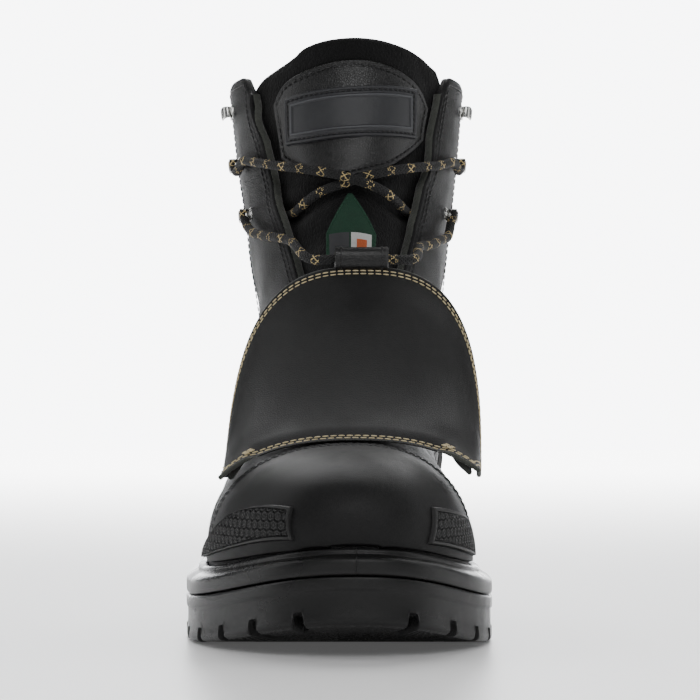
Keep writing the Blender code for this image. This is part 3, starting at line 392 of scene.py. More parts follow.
# %% [markdown]
# ## The last, as a function
# Every shoe is made over a last, a block in the shape of the foot. Here the last is one function: a row
# number runs from the toe's tip over the instep and up the shaft, and an angle runs from the ridge down
# to the sole on either side. Rows hold the section's size as shares of the boot's own sizes, and each
# section is a superellipse. The same rows shaped the solids, so every panel, stitch and lace that is
# given as a row, an angle and a lift lies exactly where the construction has it.

# %% Driving sizes, as the construction has them
SOLE_LENGTH = 0.312
BALL_WIDTH = 0.121
FORE_STACK = 0.029
HEEL_STACK = 0.044
TOE_SPRING = 0.0125
ARCH_RISE = 0.009
TOE_ROUND = 0.084
HEEL_ROUND = 0.046
WELT_HEIGHT = 0.011
RIM_DEPTH = 0.007
RIM_SETBACK = 0.009
LUG_DEPTH = 0.0055
LUG_PITCH = 0.022
LUG_SLOT = 0.0042
SLOT_REACH = 0.013
UPPER_HEIGHT = 0.206
WALL = 0.0026
FIT_GAP = 0.0003
FOOT_CLEAR = 0.0014
BELLY_SHARE = 0.996
HEEL_ROW = 13.0

PLAN_COLUMNS = ("station", "lateral", "medial", "middle")
PLAN_ROWS = (
    (0.00, 0.375, 0.455, 0.060),
    (0.10, 0.415, 0.472, 0.058),
    (0.20, 0.463, 0.492, 0.052),
    (0.29, 0.492, 0.500, 0.045),
    (0.37, 0.500, 0.488, 0.038),
    (0.46, 0.482, 0.450, 0.032),
    (0.56, 0.435, 0.402, 0.028),
    (0.66, 0.388, 0.385, 0.028),
    (0.78, 0.355, 0.395, 0.030),
    (0.90, 0.340, 0.400, 0.032),
    (1.00, 0.325, 0.390, 0.033),
)
LAST_COLUMNS = ("top_run", "top_rise", "foot_run", "back_rise", "lateral", "medial",
                "middle", "belly", "fullness", "throat")
LAST_ROWS = (
    (0.0298, 0.000, 0.003, 0.000, 0.00, 0.00, 0.055, 0.00, 2.3, 10.0),
    (0.0290, 0.040, 0.008, 0.000, 0.00, 0.00, 0.055, 0.02, 2.3, 10.0),
    (0.0350, 0.078, 0.020, 0.000, 0.10, 0.10, 0.055, 0.03, 2.3, 10.0),
    (0.0510, 0.118, 0.046, 0.000, 0.15, 0.15, 0.054, 0.03, 2.35, 10.5),
    (0.0800, 0.155, 0.086, 0.000, 0.20, 0.20, 0.053, 0.03, 2.4, 11.0),
    (0.1200, 0.188, 0.145, 0.000, 0.25, 0.25, 0.052, 0.03, 2.4, 12.0),
    (0.1750, 0.214, 0.222, 0.000, 0.30, 0.30, 0.050, 0.03, 2.3, 13.0),
    (0.2250, 0.246, 0.320, 0.000, 0.32, 0.32, 0.049, 0.05, 2.15, 14.0),
    (0.2700, 0.287, 0.445, 0.000, 0.33, 0.33, 0.047, 0.10, 2.05, 15.5),
    (0.3100, 0.333, 0.590, 0.000, 0.32, 0.33, 0.045, 0.24, 2.1, 17.5),
    (0.3450, 0.380, 0.740, 0.000, 0.30, 0.34, 0.043, 0.36, 2.05, 20.0),
    (0.3780, 0.429, 0.870, 0.000, 0.278, 0.355, 0.041, 0.44, 2.05, 23.0),
    (0.4050, 0.474, 0.955, 0.000, 0.264, 0.354, 0.040, 0.48, 2.05, 26.0),
    (0.4280, 0.517, 1.000, 0.000, 0.257, 0.352, 0.038, 0.50, 2.1, 29.5),
    (0.4500, 0.564, 1.007, 0.068, 0.264, 0.354, 0.037, 0.50, 2.1, 33.0),
    (0.4700, 0.612, 1.004, 0.155, 0.277, 0.360, 0.037, 0.50, 2.1, 36.5),
    (0.4890, 0.665, 0.991, 0.262, 0.295, 0.370, 0.037, 0.50, 2.1, 40.0),
    (0.5060, 0.718, 0.977, 0.379, 0.316, 0.384, 0.037, 0.50, 2.1, 44.0),
    (0.5190, 0.777, 0.970, 0.505, 0.332, 0.400, 0.037, 0.50, 2.1, 47.0),
    (0.5290, 0.836, 0.970, 0.641, 0.357, 0.418, 0.037, 0.50, 2.1, 49.5),
    (0.5370, 0.901, 0.976, 0.777, 0.378, 0.434, 0.037, 0.50, 2.1, 52.0),
    (0.5430, 0.962, 0.983, 0.908, 0.395, 0.448, 0.037, 0.50, 2.1, 54.0),
    (0.5480, 1.022, 0.985, 0.976, 0.399, 0.452, 0.037, 0.50, 2.1, 54.0),
    (0.5520, 1.075, 0.985, 1.030, 0.401, 0.454, 0.037, 0.50, 2.1, 54.0),
)

# %% Smooth curves through table values
def columns(rows, names):
    """Turn a table's rows into one array for each named column."""
    values = np.array(rows, dtype=float)
    return {name: values[:, index] for index, name in enumerate(names)}


def flowing(knots, values, at):
    """Smooth curve through the values: cubic pieces with the slopes of their neighbours."""
    slopes = np.gradient(values, knots)
    at = np.asarray(at, dtype=float)
    left = np.clip(np.searchsorted(knots, at, side="right") - 1, 0, len(knots) - 2)
    span = knots[left + 1] - knots[left]
    t = (at - knots[left]) / span
    start = (2 * t ** 3 - 3 * t ** 2 + 1) * values[left] + (t ** 3 - 2 * t ** 2 + t) * span * slopes[left]
    end = (3 * t ** 2 - 2 * t ** 3) * values[left + 1] + (t ** 3 - t ** 2) * span * slopes[left + 1]
    return start + end


def ramp(value, low, high):
    """Zero up to low, one from high on, with an S curve between."""
    t = np.clip((np.asarray(value, dtype=float) - low) / (high - low), 0.0, 1.0)
    return t * t * (3.0 - 2.0 * t)


def unit(vectors):
    """Vectors divided by their own lengths."""
    return vectors / np.maximum(np.linalg.norm(vectors, axis=-1, keepdims=True), 1e-12)


PLAN = columns(PLAN_ROWS, PLAN_COLUMNS)
LAST = columns(LAST_ROWS, LAST_COLUMNS)
ROW_NUMBERS = np.arange(len(LAST_ROWS), dtype=float)

# %% Plan and heights of the sole
def station_of(y):
    """Station from the toe as a share of the sole's length."""
    return y / SOLE_LENGTH + 0.5


def rounding(reach, length, power):
    """Share of the full width near a round end: one quarter of a superellipse."""
    t = np.clip(reach / length, 0.0, 1.0)
    return (1.0 - (1.0 - t) ** power) ** (1.0 / power)


def outline(share, setback):
    """Plan of the sole, set back inwards: lateral x, medial x and y at a share of its own length."""
    share = np.asarray(share, dtype=float)
    own_length = SOLE_LENGTH - 2.0 * setback
    y = -0.5 * SOLE_LENGTH + setback + share * own_length
    station = np.clip(station_of(y), 0.0, 1.0)
    middle = BALL_WIDTH * flowing(PLAN["station"], PLAN["middle"], station)
    lateral = BALL_WIDTH * flowing(PLAN["station"], PLAN["lateral"], station) - setback
    medial = BALL_WIDTH * flowing(PLAN["station"], PLAN["medial"], station) - setback
    toe = rounding(share * own_length, TOE_ROUND - setback, 2.3)
    heel = rounding((1.0 - share) * own_length, HEEL_ROUND - setback, 2.1)
    round_off = toe * heel
    return middle - (lateral + middle) * round_off, middle + (medial - middle) * round_off, y


def spring_line(station):
    """Height of the tread above the ground where the toe springs up and the heel's edge is rolled."""
    toe = TOE_SPRING * np.clip(1.0 - np.asarray(station, dtype=float) / 0.27, 0.0, 1.0) ** 2
    heel = 0.003 * np.clip((station - 0.955) / 0.045, 0.0, 1.0) ** 2
    return toe + heel


def lip_line(station):
    """Height of the sole's lip round the upper."""
    toe = TOE_SPRING * np.clip(1.0 - np.asarray(station, dtype=float) / 0.27, 0.0, 1.0) ** 2
    return FORE_STACK + toe + (HEEL_STACK - FORE_STACK) * ramp(station, 0.38, 0.7)


def tread_line(station):
    """Underside of the sole with its arch between the forefoot and the heel's breast."""
    arch = ramp(station, 0.5, 0.6) * (1.0 - ramp(station, 0.685, 0.705))
    return spring_line(station) + ARCH_RISE * arch


# %% Sections of the last
def section(row):
    """Frame of one section: its ends, middle line, half widths, and the angle of its foot line."""
    values = {name: flowing(ROW_NUMBERS, LAST[name], row) for name in LAST_COLUMNS}
    top_y = (values["top_run"] - 0.5) * SOLE_LENGTH
    top_z = lip_line(values["top_run"]) + FOOT_CLEAR + values["top_rise"] * UPPER_HEIGHT
    foot_share = np.clip(values["foot_run"], 0.0, 1.0)
    foot_lateral, foot_medial, foot_y = outline(foot_share, RIM_SETBACK)
    past = np.maximum(values["foot_run"], 1.0) - 1.0
    drawn_in = np.where(np.asarray(row) > HEEL_ROW, values["foot_run"] - foot_share - past, 0.0)
    back_y = foot_y + (past + drawn_in) * (SOLE_LENGTH - 2.0 * RIM_SETBACK)
    back_z = lip_line(station_of(np.minimum(back_y, 0.5 * SOLE_LENGTH))) + FOOT_CLEAR
    back_z = back_z + np.maximum(values["back_rise"], 0.0) * UPPER_HEIGHT
    middle = values["middle"] * BALL_WIDTH
    closed = np.asarray(row) >= HEEL_ROW
    foot_half = {-1: np.where(closed, 0.0, middle - foot_lateral),
                 1: np.where(closed, 0.0, foot_medial - middle)}
    table_half = {-1: values["lateral"] * BALL_WIDTH + middle,
                  1: values["medial"] * BALL_WIDTH - middle}
    power = 2.0 / values["fullness"]
    frame_of = {"top": (top_y, top_z), "back": (back_y, back_z), "middle": middle,
                "belly": values["belly"], "power": power, "throat": values["throat"]}
    tuck = 1.0 - (1.0 - BELLY_SHARE) * ramp(row, 0.0, 2.0)
    for side in (-1, 1):
        foot = np.maximum(foot_half[side] / tuck, 1e-6)
        half = (foot ** 10 + table_half[side] ** 10) ** 0.1
        ratio = np.clip(foot_half[side] / half, 0.0, tuck)
        frame_of[side] = (half, np.pi - np.arcsin(ratio ** (1.0 / power)))
    return frame_of


def last_point(row, angle):
    """Point of the last's skin: sine and cosine of the angle, each to the section's power,
    carried between the section's ridge point and its foot or back point."""
    row, angle = np.broadcast_arrays(np.asarray(row, dtype=float), np.asarray(angle, dtype=float))
    frame_of = section(row)
    turn = np.radians(np.abs(angle))
    medial = angle >= 0.0
    half = np.where(medial, frame_of[1][0], frame_of[-1][0])
    foot_turn = np.where(medial, frame_of[1][1], frame_of[-1][1])
    turn = np.minimum(turn, foot_turn)
    belly = frame_of["belly"]
    power = frame_of["power"]
    across = half * np.clip(np.sin(turn), 0.0, 1.0) ** power
    upward = belly + (1.0 - belly) * np.clip(np.cos(turn), 0.0, 1.0) ** power
    low = belly / np.maximum(np.abs(np.cos(foot_turn)), 1e-4) ** power
    downward = belly - low * np.clip(-np.cos(turn), 0.0, 1.0) ** power
    height = np.where(turn <= 0.5 * np.pi, upward, downward)
    top_y, top_z = frame_of["top"]
    back_y, back_z = frame_of["back"]
    x = frame_of["middle"] + np.where(medial, across, -across)
    y = back_y + (top_y - back_y) * height
    z = back_z + (top_z - back_z) * height
    return np.stack([x, y, z], axis=-1)


def foot_angle(row, side):
    """Angle in degrees where a section meets the foot line or the back seam."""
    return np.degrees(section(row)[side][1])


def throat_angle(row):
    """Half angle in degrees that the two facings leave open."""
    return flowing(ROW_NUMBERS, LAST["throat"], row)


def last_normal(row, angle):
    """Outward direction of the skin: the cross product of small steps along both parameters.

    It turns level at the foot line, so that an edge there stays above the sole's lip.
    """
    step_row = 0.02
    step_turn = 0.5
    row, angle = np.broadcast_arrays(np.asarray(row, dtype=float), np.asarray(angle, dtype=float))
    side = np.where(angle >= 0.0, 1, -1)
    limit = np.where(side > 0, foot_angle(row, 1), foot_angle(row, -1)) - step_turn
    inner = np.clip(np.abs(angle), 0.0, limit) * side
    along = last_point(np.minimum(row + step_row, ROW_NUMBERS[-1]), inner)
    along = along - last_point(np.maximum(row - step_row, 0.0), inner)
    across = last_point(row, inner + step_turn) - last_point(row, inner - step_turn)
    normal = unit(np.cross(across, along))
    near_foot = ramp(np.abs(angle), limit - 14.0, limit) * (1.0 - ramp(row, HEEL_ROW, HEEL_ROW + 1.0))
    normal[..., 2] *= 1.0 - near_foot
    return unit(normal)


def skin(row, angle, lift):
    """Point that lies lift above the last's skin."""
    lift = np.asarray(lift, dtype=float)
    return last_point(row, angle) + last_normal(row, angle) * lift[..., None]


print("instep point", np.round(last_point(10.0, 0.0) * 1000, 1), "mm")

# %% [markdown]
# ## From a grid of points to a piece
# A piece of leather or rubber is a grid of points, so its mesh is only book-keeping: a quad for each cell
# of the grid, a second grid for the inner side, and a rim between the two. This could be left to the
# Solidify modifier; doing it here keeps the piece closed and lets the edge be rolled over first.

# %% Grid to mesh
SHARP_FROM = 50.0


def grid_quads(rows, across, start=0, wrap=False):
    """Corner numbers of the cells of a grid stored row by row; wrap joins its last column to the first."""
    index = start + np.arange(rows * across).reshape(rows, across)
    if wrap:
        index = np.concatenate([index, index[:, :1]], axis=1)
    a, b, c, d = index[:-1, :-1], index[:-1, 1:], index[1:, 1:], index[1:, :-1]
    return np.stack([a, b, c, d], axis=-1).reshape(-1, 4)


def circle(count):
    """Angles of as many points, spaced evenly round a full turn."""
    return np.linspace(0.0, 2.0 * np.pi, count, endpoint=False)


def tube_faces(rings, around, start=0):
    """Quads of a tube of rings, with a fan of quads over each of its two ends."""
    fan = start + np.array([[0, k, k + 1, k + 2] for k in range(1, around - 1, 2)])
    sides = grid_quads(rings, around, start, wrap=True)
    return np.concatenate([sides, fan[:, ::-1], fan + (rings - 1) * around])


def build(name, points, faces, material, slot, replaces=(), heal=True, uv=None):
    """Mesh object from arrays of points and quads, riding on the boot's one body.

    Points that meet are joined, and with heal the faces are all turned outwards.
    """
    mesh = bpy.data.meshes.new(name)
    points = np.asarray(points, dtype=np.float64).reshape(-1, 3)
    mesh.from_pydata(points.tolist(), [], np.asarray(faces).tolist())
    if uv is not None:
        layer = mesh.uv_layers.new(name="surface")
        corner = np.zeros(len(mesh.loops), dtype=np.int64)
        mesh.loops.foreach_get("vertex_index", corner)
        layer.data.foreach_set("uv", np.asarray(uv, dtype=np.float32).reshape(-1, 2)[corner].ravel())
    if heal:
        shape = bmesh.new()
        shape.from_mesh(mesh)
        bmesh.ops.remove_doubles(shape, verts=shape.verts, dist=2e-6)
        bmesh.ops.dissolve_degenerate(shape, edges=shape.edges, dist=1e-7)
        bmesh.ops.recalc_face_normals(shape, faces=shape.faces)
        shape.to_mesh(mesh)
        shape.free()
    mesh.shade_smooth()
    mesh.set_sharp_from_angle(angle=math.radians(SHARP_FROM))
    mesh.materials.append(material)
    piece = bpy.data.objects.new(name, mesh)
    bpy.context.scene.collection.objects.link(piece)
    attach(piece, "root")
    if replaces:
        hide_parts(*replaces)
    print(name, len(mesh.polygons), "faces")
    return piece


def shell_faces(rows, across):
    """Cells of a two-sided sheet: outer grid, inner grid stored after it, and the rim between them."""
    count = rows * across
    outer = grid_quads(rows, across)
    inner = grid_quads(rows, across, count)[:, ::-1]
    index = np.arange(count).reshape(rows, across)
    loop = np.concatenate([index[0, :-1], index[:-1, -1], index[-1, :0:-1], index[:0:-1, 0]])
    after = np.roll(loop, -1)
    rim = np.stack([loop, loop + count, after + count, after], axis=-1)
    return np.concatenate([outer, inner, rim])


def lifted(name, seat, out, top, low, *looks):
    """Closed sheet whose two faces lie top and low metres above its seat, along its outward directions."""
    faces = [seat + out * np.asarray(lift)[..., None] for lift in (top, low)]
    return shell(name, *faces, *looks)


def shell(name, outer, inner, material, slot, replaces=()):
    """Closed sheet between an outer and an inner grid of points."""
    rows, across = outer.shape[:2]
    points = np.concatenate([outer.reshape(-1, 3), inner.reshape(-1, 3)])
    return build(name, points, shell_faces(rows, across), material, slot, replaces)


def run_of(points, axis=0):
    """Length of the way up to each point, along a path or along one direction of a grid."""
    steps = np.linalg.norm(np.diff(points, axis=axis), axis=-1)
    return np.cumsum(np.insert(steps, 0, 0.0, axis=axis), axis=axis)


def sheet_size(word, grid):
    """Prints how long a sheet is when laid flat: the mean run along its rows and across them."""
    down, over = run_of(grid, 0)[-1].mean(), run_of(grid, 1)[:, -1].mean()
    print(word, "laid flat", round(down * 1000), "x", round(over * 1000), "mm")


def edge_distance(grid):
    """Distance of each grid point from the nearest of the sheet's four edges, along the grid lines."""
    down, over = run_of(grid, 0), run_of(grid, 1)
    return np.minimum(np.minimum(down, down[-1] - down), np.minimum(over, over[:, -1:] - over))


def rolled(distance, radius):
    """Depth that a rounded edge has lost: a quarter circle that starts at the edge."""
    t = np.clip(1.0 - distance / radius, 0.0, 1.0)
    return radius * (1.0 - np.sqrt(1.0 - t * t))


def edge_dense(count, push=0.55):
    """Numbers from 0 to 1 that crowd towards both ends, where the edges are rolled."""
    even = np.linspace(0.0, 1.0, count)
    return even * (1.0 - push) + push * (0.5 - 0.5 * np.cos(np.pi * even))


# %% [markdown]
# ## Stitches
# Seams carry most of a boot's scale. A stitch could be painted or bumped, but thread catches the light as
# a small raised bar, so each one is a little capsule lying along the seam. All stitches of a colour are
# one mesh: the capsule's few points are placed by one array sum over every stitch at once.

# %% Stitch maker
STITCHES = {"tan": ([], []), "black": ([], []), "green": ([], [])}


def capsule():
    """Capsule of unit length along X and unit width: five rings of six points."""
    along = np.array([-0.5, -0.38, 0.0, 0.38, 0.5])
    width = np.array([0.12, 0.42, 0.5, 0.42, 0.12])
    turn = circle(6)
    x = np.repeat(along, 6)
    y = (width[:, None] * np.cos(turn)).ravel()
    z = (width[:, None] * np.sin(turn)).ravel()
    faces = grid_quads(5, 6, wrap=True)
    caps = np.array([[0, 1, 2, 3], [0, 3, 4, 5], [27, 26, 25, 24], [29, 28, 27, 24]])
    return np.stack([x, y, z], axis=1), np.concatenate([faces, caps])


def between(at, run, values):
    """Values of a path at the given lengths along it, straight between its points."""
    return np.stack([np.interp(at, run, values[:, axis]) for axis in range(3)], axis=1)


def sew(path, normals, colour="black", pitch=0.003, length=0.0024, width=0.00062):
    """Lay stitches along a path on a surface; they are joined into one mesh per colour at the end."""
    run = run_of(path)
    at = np.arange(0.5 * pitch, run[-1] - 0.3 * pitch, pitch)
    place = between(at, run, path)
    forward = unit(between(at + 0.2 * pitch, run, path) - between(at - 0.2 * pitch, run, path))
    across = unit(np.cross(between(at, run, normals), forward))
    out = unit(np.cross(forward, across))
    body, faces = capsule()
    spread = (forward[:, None] * body[None, :, 0:1] * length + across[:, None] * body[None, :, 1:2] * width
              + out[:, None] * body[None, :, 2:3] * width)
    points = place[:, None] + out[:, None] * 0.12 * width + spread
    bag = STITCHES[colour]
    shift = sum(len(part) for part in bag[0]) + np.arange(len(place))[:, None, None] * len(body)
    bag[0].append(points.reshape(-1, 3))
    bag[1].append((faces[None] + shift).reshape(-1, 4))


def sew_skin(rows, angles, lift, **style):
    """Stitches along a line of rows and angles on the last, lifted above its skin."""
    sew(skin(rows, angles, lift), last_normal(rows, angles), **style)


# %% [markdown]
# ## The sole
# One moulding of black rubber in two looks: above a groove the welt, whose lip holds the upper, and
# below it the outsole with its slots and lugs. A side like this is a profile drawn once and carried round
# the plan of the sole. The profile's points are a setback from the outline and a drop below the lip, so
# the same table follows toe spring, arch and heel by itself.

# %% Profile round the sole
SOLE_COUNT = 560
MIDSOLE_PROFILE = (
    # setback and drop below the lip, in millimetres, from the foot side over the lip and down
    (8.3, 6.9), (8.3, 4.0), (8.3, 1.2), (8.15, 0.5), (7.7, 0.12), (7.0, 0.0), (6.3, 0.0), (5.7, 0.12),
    (5.15, 0.45), (4.85, 1.0), (4.78, 1.6), (4.72, 2.1), (4.4, 2.5), (3.7, 2.85), (2.8, 3.25),
    (1.9, 3.75), (1.1, 4.3), (0.5, 4.85), (0.14, 5.45), (0.0, 6.2), (0.0, 7.4), (0.0, 8.8), (0.05, 9.7),
    (0.25, 10.3), (0.7, 10.7), (1.6, 10.85), (6.0, 10.85),
)
WALL_PROFILE = (
    # setback in millimetres and share of the way from the groove's floor down to the tread
    (3.5, 0.0), (1.2, 0.0), (0.45, 0.012), (0.12, 0.035), (0.0, 0.08), (0.0, 0.24), (0.08, 0.265),
    (0.55, 0.285), (0.62, 0.32), (0.62, 0.45), (0.6, 0.58), (0.5, 0.7), (0.3, 0.8), (0.12, 0.88),
    (0.3, 0.94), (0.9, 0.975), (2.2, 1.0),
)


def sole_stations(count):
    """Stations that crowd at toe and heel, where the outline turns."""
    return 0.5 - 0.5 * np.cos(np.linspace(0.0, np.pi, count))


def ring(setback, height_of, count=SOLE_COUNT):
    """One closed ring of the plan: lateral side from toe to heel, then the medial side back."""
    lateral, medial, y = outline(sole_stations(count), setback)
    z = height_of(station_of(y))
    out = np.stack([lateral, y, z], axis=1)
    back = np.stack([medial, y, z], axis=1)[::-1][1:-1]
    return np.concatenate([out, back])


def close_ring_profile(rings):
    """Faces of a ring that closes both round the sole and round its own profile."""
    count = len(rings[0])
    index = np.arange(len(rings) * count).reshape(len(rings), count)
    index = np.concatenate([index, index[:1]])
    index = np.concatenate([index, index[:, :1]], axis=1)
    a, b, c, d = index[:-1, :-1], index[:-1, 1:], index[1:, 1:], index[1:, :-1]
    return np.stack([a, b, c, d], axis=-1).reshape(-1, 4)


# %% Welt
def make_welt():
    """The moulded welt: its profile carried round the plan and closed under the foot."""
    rings = []
    for setback, drop in MIDSOLE_PROFILE:
        rings.append(ring(setback / 1000.0, lambda s, d=drop: lip_line(s) - d / 1000.0))
    return build("welt", np.concatenate(rings), close_ring_profile(rings), SOLE_RUBBER,
                 "midsole_rubber", ("midsole",))


make_welt()

# %% [markdown]
# ## Lugs and slots
# The tread is a height above the ground: zero on the lugs, raised in the slots between them. Boolean
# cuts would give the same form, but a height that is a function of x and y can be used twice, once for
# the underside and once for the lower edge of the side wall, so that both sides of each slot meet.

# %% Slots round the edge
def slot_places():
    """Middle, direction and side of each slot, a pitch apart along the outline, none in the arch."""
    fine = sole_stations(400)
    lateral, medial, y = outline(fine, 0.0)
    places = []
    for x in (lateral, medial):
        run = np.concatenate([[0.0], np.cumsum(np.hypot(np.diff(x), np.diff(y)))])
        for along in np.arange(LUG_PITCH, run[-1] - 0.5 * LUG_PITCH, LUG_PITCH):
            at = int(np.argmin(np.abs(run - along)))
            if 0.54 < station_of(y[at]) < 0.72:
                continue
            forward = np.array([x[at + 1] - x[at - 1], y[at + 1] - y[at - 1]])
            places.append((np.array([x[at], y[at]]), forward / np.linalg.norm(forward)))
    return places


SLOTS = slot_places()
SLOT_EDGE = 0.00045


def slot_depth(x, y):
    """One inside the slots and grooves, zero on the lugs, with steep walls between."""
    depth = np.zeros(np.shape(x))
    for middle, forward in SLOTS:
        along = (x - middle[0]) * forward[0] + (y - middle[1]) * forward[1]
        inward = np.abs((x - middle[0]) * -forward[1] + (y - middle[1]) * forward[0])
        width = 1.0 - ramp(np.abs(along), 0.5 * LUG_SLOT - SLOT_EDGE, 0.5 * LUG_SLOT + SLOT_EDGE)
        reach = 1.0 - ramp(inward, SLOT_REACH - SLOT_EDGE, SLOT_REACH + SLOT_EDGE)
        depth = np.maximum(depth, width * reach)
    return depth


GROOVES = (((0.15, 0.47), 5), ((0.775, 0.915), 2))


def groove_depth(x, y):
    """One inside the grooves across the middle of the forefoot and the heel."""
    depth = np.zeros(np.shape(x))
    for (first, last), count in GROOVES:
        for station in np.linspace(first, last, count):
            lateral, medial, _ = outline(station, 0.0)
            reach = 0.5 * (medial - lateral) - SLOT_REACH - 0.006
            off = np.abs(y - (station - 0.5) * SOLE_LENGTH)
            side = np.abs(x - 0.5 * (medial + lateral))
            width = 1.0 - ramp(off, 0.5 * LUG_SLOT - SLOT_EDGE, 0.5 * LUG_SLOT + SLOT_EDGE)
            depth = np.maximum(depth, width * (1.0 - ramp(side, reach - SLOT_EDGE, reach + SLOT_EDGE)))
    return depth


RIB_PITCH = 0.0021
RIB_DEPTH = 0.0007


def tread_height(x, y):
    """Underside of the sole: the tread line, slots, cross grooves, and fine ribs on the toe's lugs."""
    base = tread_line(station_of(y))
    cut_out = np.maximum(slot_depth(x, y), 0.8 * groove_depth(x, y))
    ribs = 0.5 + 0.5 * np.sin(2.0 * np.pi * (y + 0.35 * np.abs(x)) / RIB_PITCH)
    rib_area = (1.0 - ramp(station_of(y), 0.13, 0.15)) * (1.0 - cut_out)
    return base + LUG_DEPTH * cut_out + RIB_DEPTH * ramp(ribs, 0.3, 0.7) * rib_area


# %% [markdown]
# ## Outsole
# The outsole is one block of rubber with a thin top that lies against the welt. It could be cut from a
# solid; here the wall's profile ends on the same outline where the tread begins, so the two share points.

# %% Outsole
TREAD_ACROSS = 74


def make_outsole():
    """Outsole: side wall, tread and top as one closed mesh.

    A wall point lies a share of the way from the groove down to the tread; where a slot opens, the
    share stops at the slot's roof. The tread joins the two ends of each station.
    """
    rings = []
    for setback, share in WALL_PROFILE:
        row = ring(setback / 1000.0, lambda s: 0.0 * s)
        station = station_of(row[:, 1])
        top = lip_line(station) - WELT_HEIGHT - 0.5 * FIT_GAP
        floor_z = tread_line(station)
        z = top + (floor_z - top) * share
        roof = floor_z + LUG_DEPTH
        opened = slot_depth(row[:, 0], row[:, 1])
        row[:, 2] = z + opened * np.maximum(roof - z, 0.0)
        rings.append(row)
    wall = np.concatenate(rings)
    count = len(rings[0])
    faces = [grid_quads(len(rings), count, wrap=True)]
    share = np.linspace(0.0, 1.0, TREAD_ACROSS)
    last_setback = WALL_PROFILE[-1][0] / 1000.0
    lateral, medial, y = outline(sole_stations(SOLE_COUNT), last_setback)
    x = lateral[:, None] + (medial - lateral)[:, None] * share[None]
    y = np.broadcast_to(y[:, None], x.shape)
    tread = np.stack([x, y, tread_height(x, y)], axis=-1)
    tread[:, 0] = rings[-1][:SOLE_COUNT]
    tread[1:-1, -1] = rings[-1][SOLE_COUNT:][::-1]
    faces.append(grid_quads(SOLE_COUNT, TREAD_ACROSS, len(wall)))
    first = rings[0]
    top = np.stack([first[:SOLE_COUNT], np.concatenate([first[:1], first[SOLE_COUNT:][::-1],
                                                        first[SOLE_COUNT - 1:SOLE_COUNT]])], axis=1)
    faces.append(grid_quads(SOLE_COUNT, 2, len(wall) + tread.shape[0] * tread.shape[1]))
    points = np.concatenate([wall, tread.reshape(-1, 3), top.reshape(-1, 3)])
    return build("outsole_tread", points, np.concatenate(faces), SOLE_RUBBER, "outsole_rubber",
                 ("outsole",))


make_outsole()

# %% [markdown]
# ## Footbed
# The loose insole shows through the collar. It is a flat pad that follows the foot line inside the wall,
# with a rolled edge, so it is a ring profile like the sole, closed across the foot.

# %% Insole
INSOLE_SETBACK = RIM_SETBACK + WALL + 0.0012
INSOLE_THICK = 0.0035
INSOLE_EDGE = ((0.0006, 0.0), (0.0, 0.0006), (0.0, 0.0026), (0.0005, 0.0033), (0.0012, INSOLE_THICK))
INSOLE_COUNT = 160


def make_footbed():
    """Footbed: three rings for its rolled edge, and the stations joined across above and below."""
    rings = []
    for inset, rise in INSOLE_EDGE:
        low = rise - RIM_DEPTH + FIT_GAP
        rings.append(ring(INSOLE_SETBACK + inset, lambda s, low=low: lip_line(s) + low, INSOLE_COUNT))
    count = len(rings[0])
    faces = [grid_quads(len(rings), count, wrap=True)]
    points = [np.concatenate(rings)]
    first = len(points[0])
    for row, across in ((rings[0], 2), (rings[-1], 26)):
        left = row[:INSOLE_COUNT]
        right = np.concatenate([row[:1], row[INSOLE_COUNT:][::-1], left[-1:]])
        share = np.linspace(0.0, 1.0, across)[None, :, None]
        cap = left[:, None] * (1.0 - share) + right[:, None] * share
        faces.append(grid_quads(INSOLE_COUNT, across, first))
        points.append(cap.reshape(-1, 3))
        first += cap.shape[0] * across
    return build("footbed", np.concatenate(points), np.concatenate(faces), LINING_LOOK,
                 "footbed_fabric", ("insole",))


make_footbed()

# %% [markdown]
# ## The upper
# Two halves of one hide, closed at the back seam and left open for the tongue. A simple sheet over the
# last would look inflated; a worn boot has creases where the ankle bends, a dent above the heel and a
# slight wave along the collar. These are soft troughs and ridges added to the lift above the last, each
# given as a short line on the last's own rows and degrees.

# %% Creases
CREASES = (
    # row and degrees at one end, at the other end, half width in mm, depth in mm (negative: a ridge)
    ((12.6, 62.0), (11.2, 98.0), 5.0, 1.1),
    ((13.4, 60.0), (12.3, 100.0), 4.5, -0.7),
    ((14.2, 60.0), (13.2, 108.0), 5.5, 1.2),
    ((15.3, 66.0), (14.6, 120.0), 5.5, -0.8),
    ((16.2, 70.0), (15.8, 135.0), 6.0, 1.1),
    ((17.6, 80.0), (17.3, 150.0), 7.0, 0.7),
    ((19.0, 95.0), (18.4, 165.0), 8.0, 0.6),
    ((9.8, 48.0), (9.2, 84.0), 6.0, 0.8),
    ((10.6, 52.0), (10.2, 92.0), 5.0, -0.5),
    ((8.4, 30.0), (8.0, 72.0), 7.0, 0.6),
)


ROW_RUN = 12.5
DEGREE_RUN = 0.85


